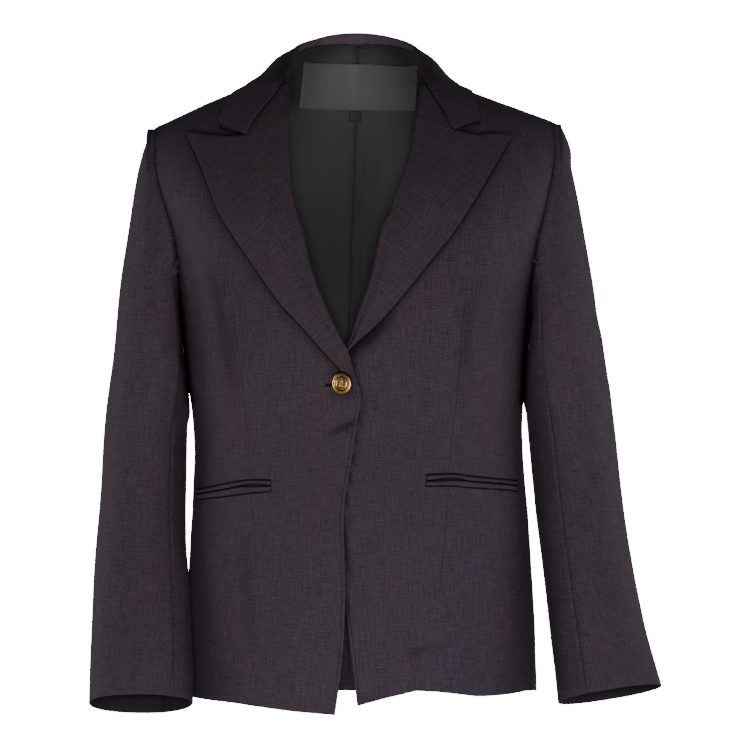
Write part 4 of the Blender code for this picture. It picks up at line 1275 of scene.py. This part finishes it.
# Where the lining meets the collar's band, and painted shade lies along it.
NECK_LINE = [(-70, 26), (-52, 40), (-17, 47), (17, 47), (52, 39), (70, 22)]
linings = {}
neck_side = collar_foot[(np.abs(collar_foot[:, 0]) < 0.068) & (collar_foot[:, 1] > 0.0)]
for name, side in SIDES.items():
    inside = face_sheet("lining_" + name + "_cloth", "lining_" + name,
                        lambda place: Vector((-place.x, -place.y, 0)))
    mesh = mesh_of(inside)
    mesh.verts.ensure_lookup_table()
    rim = [edge for edge in mesh.edges if edge.is_boundary
           and all(vert.co.z > -0.012 and abs(vert.co.x) < 0.072 and vert.co.y > 0.0 for vert in edge.verts)
           and abs(edge.verts[0].co.x - edge.verts[1].co.x) > 0.0015]
    # The neck's edge is carried on up to the collar's band, in two steps.
    made = {}
    for edge in rim:
        for vert in edge.verts:
            if vert not in made:
                x = min(abs(vert.co.x), 0.0645) * side
                near = neck_side[np.abs(neck_side[:, 0] - x).argmin()]
                more = min(max((abs(x) - 0.030) / 0.009, 0), 1)
                steps = [vert]
                top = Vector((x if abs(vert.co.x) > 0.001 else 0.0, near[1] - 0.0006 + 0.0013 * more,
                              near[2] + 0.0006 + 0.0030 * more))
                for t in (0.4, 1.0):
                    steps.append(mesh.verts.new(vert.co.lerp(top, t)))
                made[vert] = steps
        a, b = (made[vert] for vert in edge.verts)
        for k in range(2):
            mesh.faces.new((a[k], b[k], b[k + 1], a[k + 1]))
    bmesh.ops.recalc_face_normals(mesh, faces=mesh.faces)
    mesh.to_mesh(inside.data)
    mesh.free()
    face_forward(inside, (0, -1, 0))
    lay_pattern(inside)
    modify(inside, "SUBSURF", **FINER)
    ripple(inside, 0.8, 60, 31.0)
    press_all(inside, LINING_FOLDS)
    spots = places(inside)
    middle = np.abs(spots[:, 0]) < 0.0007
    spots[middle, 0] = 0.0
    put(inside, spots)
    sink_rim(inside, 0.35, 2.0, lambda spot: abs(spot[0]) < 0.8)
    mark_rim(inside, lambda spot: abs(spot[0]) < 0.8, 0.9)
    # Painted shade: along the collar's band, more over the upper lining, and down its sides under the collar.
    shade_near(inside, NECK_LINE, 13.0, 0.45)
    keep_shade(inside, np.interp(places(inside)[:, 2] / MM, (-270, -110), (0.0, 0.46)))
    shade_near(inside, [(side * 68, 30), (side * 66, 0), (side * 62, -30)], 8.0, 0.5, (0.0, 0.5))
    # The seam drifts to the wearer's right towards the waist.
    spots = places(inside)
    drift = np.interp(spots[:, 2] / MM, [-330, -240, -160, -30, 30], [-9, -8.6, -6.4, -1.6, 0]) * MM
    spots[:, 0] += drift * np.exp(-(spots[:, 0] / 0.045) ** 2)
    put(inside, spots)
    linings[side] = inside
lining_trees = {side: BVHTree.FromObject(inside, bpy.context.evaluated_depsgraph_get())
                for side, inside in linings.items()}
for name, side in SIDES.items():
    give_wall(linings[side], 1.0, lining_cloth, lining_cloth, 0.3)
    # The lining's lowest part takes the darkened turned suiting: painted shade.
    for own in (0, 1):
        line_inside(linings[side], turned_cloth_shaded, lambda spot: spot.z < -500, own)
    declare(linings[side], ["lining_" + name])


# The labels: a bare woven patch sewn to the lining under the collar by its corners,
# and a small bare tag hanging from its lower edge.

def label_group():
    """Close satin ribs across a woven label: a colour, a height and a roughness."""
    group, start, end = group_with(
        "label weave", [("Place", "NodeSocketVector", None), ("Tone", "NodeSocketFloat", 1.0)],
        [("Colour", "NodeSocketColor"), ("Height", "NodeSocketFloat"), ("Rough", "NodeSocketFloat")])
    place = start.outputs["Place"]
    fine = streaks(group, place, (1500.0, 420.0, 1.0), 2.0, 0.5)
    cloudy = streaks(group, place, (30.0, 60.0, 1.0), 2.0, 0.5)
    share = number(group, "MULTIPLY", number(group, "ADD", fine, cloudy), 0.5)
    colour = blend(group, share, (0.090, 0.090, 0.095, 1), (0.135, 0.135, 0.141, 1))
    feed(group, end, {"Colour": dimmed(group, colour, start.outputs["Tone"]),
                      "Height": ribs(group, parts(group, place)["Y"], 0.00042),
                      "Rough": number(group, "MULTIPLY_ADD", fine, 0.14, 0.46)})
    return group


label_weave = label_group()
label_cloth = cloth_material("grey woven label", label_weave, 0.05, 0.2, 0.0001)
tag_cloth = cloth_material("dark size tag", label_weave, 0.05, 0.2, 0.0001, Tone=0.26)
LABELS = {
    # lower and upper corners, bow of the upper edge, lift, flat size in metres, cells, cloth
    "neck_label": (((-59.8, -17.6), (59.6, -19.6)), ((-53.7, 27.2), (60.6, 21.4)), 4.4, 1.5,
                   (0.118, 0.045), (60, 22), label_cloth),
    "size_tag": (((-8.6, -28.6), (3.4, -29.2)), ((-8.4, -18.8), (4.0, -19.2)), 0.3, 2.4,
                 (0.012, 0.012), (10, 10), tag_cloth),
}


def on_lining(x, z):
    """A place on the lining over a spot, in metres, and its normal, towards the front."""
    hits = [tree.ray_cast(Vector((x, -0.02, z)), Vector((0, 1, 0))) for tree in lining_trees.values()]
    hits = [hit for hit in hits if hit[0] is not None]
    if not hits:
        hits = [tree.find_nearest(Vector((x, 0.06, z))) for tree in lining_trees.values()]
    spot, normal = min(hits, key=lambda hit: hit[0].y)[:2]
    if normal.y > 0:
        normal = -normal
    return spot, normal


for kind, (lower, upper, bow, lift, flat, (wide, high), finish) in LABELS.items():
    grid = np.zeros((high + 1, wide + 1, 3))
    for j in range(high + 1):
        v = j / high
        for k in range(wide + 1):
            u = k / wide
            low, top = (np.array(ends[0]) * (1 - u) + np.array(ends[1]) * u for ends in (lower, upper))
            x, z = low * (1 - v) + top * v + np.array((0, bow * math.sin(math.pi * u) * v))
            spot, normal = on_lining(x * MM, z * MM)
            puff = 0.7 * math.sin(math.pi * u) * math.sin(math.pi * v)
            grid[j, k] = (x * MM, spot.y - (lift + puff) * MM, z * MM)
    for _ in range(24):
        grid[1:-1, :, 1] = (grid[:-2, :, 1] + 2 * grid[1:-1, :, 1] + grid[2:, :, 1]) / 4
        grid[:, 1:-1, 1] = (grid[:, :-2, 1] + 2 * grid[:, 1:-1, 1] + grid[:, 2:, 1]) / 4
    label = grid_sheet(kind + "_cloth", grid)
    face_forward(label, (0, -1, 0))
    lay_pattern(label)
    if kind == "neck_label":
        label_corners = [Vector(grid[j, k]) for j, k in ((0, 1), (0, -2), (-1, 1), (-1, -2))]
    # The neck label's rim takes the dark tag cloth, as painted shadow round its edge, and so does its back.
    give_wall(label, 0.8, finish, tag_cloth, 0, 1)
    declare(label, [kind])


def thread_material(name, strands, dark, light, rough, shine=0.5):
    """Twisted thread, streaked from dark to light; strands are three scales per metre."""
    made, tree, shader = material(name)
    strand = streaks(tree, node(tree, "TexCoord", {}).outputs["Object"], strands, 2.0, 0.5)
    feed(tree, shader, {"Base Color": blend(tree, strand, dark, light), "Roughness": rough,
                        "Specular IOR Level": shine})
    return made


def bead(mesh, middle, across, out, up):
    """One short stitch: a round bead drawn out along three steps from its middle, in millimetres."""
    made = bmesh.ops.create_uvsphere(mesh, u_segments=8, v_segments=6, radius=1.0)
    for vert in made["verts"]:
        co = vert.co
        vert.co = middle + (Vector(across) * co.x + Vector(out) * co.y + Vector(up) * co.z) * MM


# Three tacking stitches hold each corner of the label.
tacks = bmesh.new()
for corner, across in zip(label_corners, (1, -1, 1, -1)):
    for step in range(3):
        middle = corner + Vector((across * (0.6 + step), -0.5, 0.2)) * MM
        bead(tacks, middle, (0.28, 0, 0), (0, 0.28, 0), (across * 0.35, 0, 1.0))
tacks = plain("label_tacks", tacks)
tacks.data.materials.append(thread_material(
    "ochre tacking thread", (2600.0, 2600.0, 900.0), (0.05, 0.036, 0.02, 1), (0.16, 0.12, 0.065, 1), 0.7))
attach(tacks, "root")


# The pockets: a double-welt opening on each front. Two narrow lips of folded suiting
# are sewn along the slit, and the slit gapes a little at its inner end.

POCKETS = {
    # The upper seam, the slit and the lower seam, in x and z, and where the slit gapes.
    RIGHT: {
        "top": [(-158.4, -402.6), (-143.4, -399.6), (-127, -395.6), (-104.1, -391.7), (-82.4, -391.6)],
        "slit": [(-158.4, -407.8), (-142.8, -404.3), (-127, -401.1), (-108, -397.2), (-82.4, -396.8)],
        "low": [(-158.9, -413.4), (-144, -410.6), (-131, -408.8), (-104, -404.6), (-82.2, -402.4)],
        "gape": (-114, -86),
    },
    LEFT: {
        "top": [(67, -386.2), (93.4, -385.6), (112, -388.2), (145.1, -392.2), (158.8, -394.2)],
        "slit": [(67, -392.2), (93.4, -390.8), (112, -393.2), (145.1, -396.7), (158.8, -399.2)],
        "low": [(66.6, -397.2), (93.4, -397.4), (112, -399.3), (145, -402.2), (159, -404.8)],
        "gape": (70, 106),
    },
}
STEPS = 72              # along a pocket


def welt_section(wide, up, open_by):
    """Across a lip: how far from its seam, how high over the front, and how deep its painted shade is, dark
    at the seam, the fold and the slit's floor.
    """
    floor = 1.25 + 1.9 * open_by
    depth = 0.94 - 0.3 * open_by
    under = (1.2, 0.12) if up < 0 else (0.4, 0.16)
    return ((-1.1, 0.08, 0.0), (-0.55, 0.10, 0.82), (0.05, 0.12, 0.92), (0.6, 0.75, 0.5), (1.1, 1.15, 0.06),
            (0.35 * wide, 1.5, 0.0), (0.6 * wide, 1.55, 0.0), (wide - 0.9, 1.45, 0.0),
            (wide - 0.35, 1.2, 0.2), (wide, 0.8, 0.6), (wide + 0.05, 0.32, 0.9),
            (wide + 0.4, 0.14, depth), (wide + floor * under[0], under[1], depth))


for name, side in SIDES.items():
    lines = POCKETS[side]
    slit = smooth_line(lines["slit"], STEPS + 1)
    gape_start, gape_end = lines["gape"]
    for lip, seam_line, up in (("upper", "top", 1), ("lower", "low", -1)):
        seam = smooth_line(lines[seam_line], STEPS + 1)
        grid, painted_shades = [], []
        for j in range(STEPS + 1):
            ends = max(min(min(j, STEPS - j) / 2.5, 1), 0.12)
            share = min(max((slit[j][0] - gape_start) / (gape_end - gape_start), 0), 1)
            open_by = max(math.sin(math.pi * share), 0)
            fold = slit[j] + np.array((0, up * (0.62 + 0.95 * open_by)))
            wide = np.linalg.norm(fold - seam[j])
            way = (fold - seam[j]) / wide
            row = []
            for reach, lift, dark in welt_section(wide, up, open_by):
                x, z = (seam[j] + way * reach) * MM
                foot, normal = on_front(side, x, z)
                row.append(Vector((x, foot.y, z)) + normal * (lift * ends) * MM)
                # The lips' ends take more painted shade.
                painted_shades.append(max(dark, 0.7) if j in (0, STEPS) and reach > -1 else dark)
            grid.append(row)
        welt = grid_sheet("welt_" + lip + "_" + name + "_cloth", grid)
        face_forward(welt, (0, -1, 0))
        lay_pattern(welt, 90)
        # The dark lines at the seams and the fold, and the slit's floor, are painted shade.
        keep_shade(welt, np.array(painted_shades))
        give_wall(welt, 0.3, suiting, suiting, 0)
        declare(welt, ["welt_" + lip + "_" + name])


# The buttonhole: a worked slit on the right front, most of it under the button, with
# close stitches of dark thread round its edge and its shade between them.

HOLE_END, HOLE_FRONT = np.array((-28.9, -299.8)), np.array((-2.0, -298.2))
HALF_SLIT = 0.95        # from the slit's middle to its stitches


def on_hole(x, z, lift):
    """A place that far over the right front, over a spot in millimetres."""
    foot, normal = on_front(RIGHT, x * MM, z * MM)
    return foot + normal * lift * MM


stitches = bmesh.new()
for row in (-1, 1):
    for step in range(46):
        x, z = HOLE_END + (HOLE_FRONT - HOLE_END) * step / 45
        bead(stitches, on_hole(x, z + row * HALF_SLIT, 0.15), (0.30, 0, 0), (0, 0.32, 0), (0, 0, 0.72))
for angle in np.radians(90 + 22.5 * np.arange(9)):
    cos, sin = math.cos(angle), math.sin(angle)
    x, z = HOLE_END + HALF_SLIT * np.array((cos, sin))
    bead(stitches, on_hole(x, z, 0.15),
         (0.72 * cos, 0, 0.72 * sin), (0, 0.32, 0), (-0.30 * sin, 0, 0.30 * cos))
sewn_faces = len(stitches.faces)
# A row of near-black beads in the slit: painted shade.
for step in range(22):
    x, z = HOLE_END + np.array((0.4 + 0.45 * step, 0.05 * step))
    bead(stitches, on_hole(x, z, 0.45), (0.46, 0, 0), (0, 0.3, 0), (0, 0, 0.95))
stitches.faces.ensure_lookup_table()
for face in stitches.faces[sewn_faces:]:
    face.material_index = 1
worked = plain("buttonhole_stitches", stitches)
worked.data.materials.append(thread_material(
    "dark plum thread", (900.0, 900.0, 3400.0), (0.008, 0.007, 0.010, 1), (0.046, 0.038, 0.052, 1),
    0.62, 0.15))
worked.data.materials.append(thread_material(
    "shade in the buttonhole", (900.0, 900.0, 3400.0), (0.002, 0.002, 0.003, 1), (0.010, 0.009, 0.012, 1),
    0.62, 0.0))
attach(worked, "root")


# The button: one cast shank button of antiqued gold-coloured metal, with a broad round
# rim, an inner ring and a plain rosette, sewn to the left front.

brass, tree, shader = material("antiqued gold")
raised = node(tree, "Attribute", {}, attribute_name="raised")
tarnish = streaks(tree, node(tree, "TexCoord", {}).outputs["Object"], (620.0, 620.0, 620.0), 4.0, 0.62)
patina = number(tree, "MULTIPLY_ADD", raised.outputs["Fac"], 1.35,
                number(tree, "MULTIPLY_ADD", tarnish, 1.1, -0.85))
clear = node(tree, "Clamp", {"Value": patina}).outputs["Result"]
feed(tree, shader, {"Base Color": blend(tree, clear, (0.040, 0.014, 0.003, 1), (0.95, 0.58, 0.20, 1)),
                    "Roughness": number(tree, "MULTIPLY_ADD", clear, -0.16, 0.46),
                    "Normal": bumped(tree, tarnish, 0.5, 0.00025), "Metallic": 1.0})

# Across the face from the rim inwards, radius and height: a broad rounded rim, a groove,
# a raised ring, and the sunken middle.
BUTTON_FACE = ((10.5, 0.0), (10.2, 0.42), (9.7, 0.74), (9.0, 1.0), (8.2, 1.16), (7.5, 1.2), (7.2, 1.1),
               (6.9, 0.78), (6.3, 0.74), (6.05, 1.1), (5.75, 1.32), (5.3, 1.36), (5.0, 1.2),
               (4.8, 0.84), (4.2, 0.78), (3.0, 0.80), (1.5, 0.84), (0.6, 0.9))
# Radius, and the height under which the metal has gone dark there.
WORN_FACE = ([0, 4.7, 4.9, 6.9, 7.3, 8.0, 9.5, 10.3, 10.6],
             [0.88, 0.88, 1.0, 1.0, 0.98, 0.95, 0.74, 0.50, -0.2])
PLATE = 1.6             # the plate under the face
low_corner, high_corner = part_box("button")
bpy.ops.object.select_all(action="DESELECT")
bpy.ops.mesh.primitive_cylinder_add(vertices=96, radius=BUTTON_FACE[0][0] * MM, depth=PLATE * MM,
                                    location=(0, 0, -PLATE / 2 * MM))
button = bpy.context.object
button.name = "button_metal"
bpy.ops.object.mode_set(mode="EDIT")
mesh = bmesh.from_edit_mesh(button.data)
for face in mesh.faces:
    face.select = face.normal.z > 0.9
for (radius, height), (next_radius, next_height) in zip(BUTTON_FACE, BUTTON_FACE[1:]):
    bpy.ops.mesh.inset(thickness=(radius - next_radius) * MM, depth=(next_height - height) * MM)
bpy.ops.object.mode_set(mode="OBJECT")
petals = []
# Two rings of six petals: turned by a share of a step, length, width, how far out.
for turn, length, wide, out in ((0, 1.55, 0.78, 2.45), (0.5, 0.75, 0.55, 3.75)):
    for k in range(6):
        angle = 2 * math.pi * (k + turn) / 6
        spot = Vector((out * math.cos(angle), out * math.sin(angle), 0.80)) * MM
        bpy.ops.mesh.primitive_uv_sphere_add(segments=16, ring_count=8, radius=1 * MM, location=spot,
                                             rotation=(0, 0, angle), scale=(length, wide, 0.62))
        petals.append(bpy.context.object)
bpy.ops.mesh.primitive_uv_sphere_add(segments=20, ring_count=10, radius=1 * MM, location=(0, 0, 0.85 * MM),
                                     scale=(0.85, 0.85, 0.68))
petals.append(bpy.context.object)
bpy.ops.mesh.primitive_torus_add(major_radius=2.2 * MM, minor_radius=0.55 * MM, location=(0, 0, -3.0 * MM),
                                 rotation=(math.radians(90), 0, 0), major_segments=32, minor_segments=10)
petals.append(bpy.context.object)
bpy.ops.object.select_all(action="DESELECT")
for petal in petals:
    petal.select_set(True)
button.select_set(True)
bpy.context.view_layer.objects.active = button
bpy.ops.object.join()
modify(button, "BEVEL", width=0.18 * MM, segments=2, limit_method="ANGLE", angle_limit=math.radians(32))
spots = places(button)
radius = np.hypot(spots[:, 0], spots[:, 1]) / MM
height = spots[:, 2] / MM - 0.8
share = np.clip((height - np.interp(radius, *WORN_FACE)) / 0.5 + 0.55, 0, 1)
mark = button.data.attributes.new("raised", "FLOAT", "POINT")
mark.data.foreach_set("value", share.astype(np.float32))
button.data.shade_smooth()
button.data.materials.clear()
button.data.materials.append(brass)
# The face looks forwards, a little down and towards the wearer's right.
button.rotation_euler = (math.radians(90 + 5), 0, math.radians(-27))
button.location = ((low_corner[0] + high_corner[0]) / 2, low_corner[1] + PLATE * MM,
                   (low_corner[2] + high_corner[2]) / 2)
pick(button)
bpy.ops.object.transform_apply(location=True, rotation=True, scale=True)
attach(button, "root")
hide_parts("button")


# The studio: a plain pale floor that sweeps up all round, soft light from the front, from
# both sides and from behind, and a level camera.

FLOOR, FLAT_REACH, BEND, WALL_TOP = -1.25, 3.8, 0.9, 5.0     # metres
sweep = bmesh.new()
profile = [(0.001, FLOOR), (FLAT_REACH, FLOOR)]
profile += [(FLAT_REACH + BEND * math.sin(angle), FLOOR + BEND - BEND * math.cos(angle))
            for angle in np.radians(range(10, 91, 10))]
profile += [(FLAT_REACH + BEND, WALL_TOP)]
made = [[sweep.verts.new((reach * math.cos(angle), reach * math.sin(angle), z))
         for angle in np.radians(range(0, 360, 5))] for reach, z in profile]
for low, high in zip(made, made[1:]):
    for k in range(len(low)):
        sweep.faces.new((low[k - 1], low[k], high[k], high[k - 1]))
floor = plain("floor", sweep)
paper, tree, shader = material("white paper")
# The paper is lit to pure white for the eye, without more light on the cloth.
seen = node(tree, "LightPath", {}).outputs["Is Camera Ray"]
feed(tree, shader, {"Base Color": (0.3, 0.3, 0.3, 1), "Roughness": 0.9, "Emission Strength": 17.0,
                    "Emission Color": blend(tree, seen, (0, 0, 0, 1), (1, 1, 1, 1))})
floor.data.materials.append(paper)


def soft_light(name, place, aim, size, power):
    """A square or oblong light, in metres and watts, that the camera doesn't see."""
    data = bpy.data.lights.new(name, "AREA")
    data.shape = "RECTANGLE"
    data.size, data.size_y = size
    data.energy = power
    made = bpy.data.objects.new(name, data)
    made.location = place
    made.rotation_euler = (Vector(aim) - Vector(place)).to_track_quat("-Z", "Y").to_euler()
    made.visible_camera = False
    bpy.context.scene.collection.objects.link(made)


# name, place, what it points at, width and height, watts
soft_light("low front softbox", (0.1, -1.9, -1.02), (0, 0, -0.34), (1.7, 0.35), 22)
soft_light("camera softbox", (0.02, -3.3, -0.29), (0, 0, -0.29), (0.25, 0.25), 22)
soft_light("right softbox", (-2.2, 0.3, -0.3), (0, 0, -0.3), (1.2, 1.6), 20)
soft_light("left softbox", (2.2, 0.3, -0.3), (0, 0, -0.3), (1.2, 1.6), 20)
soft_light("left front card", (1.9, -1.8, 0.3), (0, 0, -0.3), (1.3, 1.3), 1.6)
soft_light("back softbox", (0, 3.0, -0.2), (0, 0, -0.3), (0.8, 1.0), 22)
world = bpy.data.worlds.new("studio")
world.use_nodes = True
world.node_tree.nodes["Background"].inputs["Color"].default_value = (1, 1, 1, 1)
world.node_tree.nodes["Background"].inputs["Strength"].default_value = 0.05
bpy.context.scene.world = world

lens = bpy.data.cameras.new("camera")
lens.lens, lens.sensor_width = 144.0, 36.0
camera = bpy.data.objects.new("camera", lens)
camera.location = (0.018, -3.0, -0.29)
camera.rotation_euler = (math.radians(90), 0, 0)
bpy.context.scene.collection.objects.link(camera)
bpy.context.scene.camera = camera
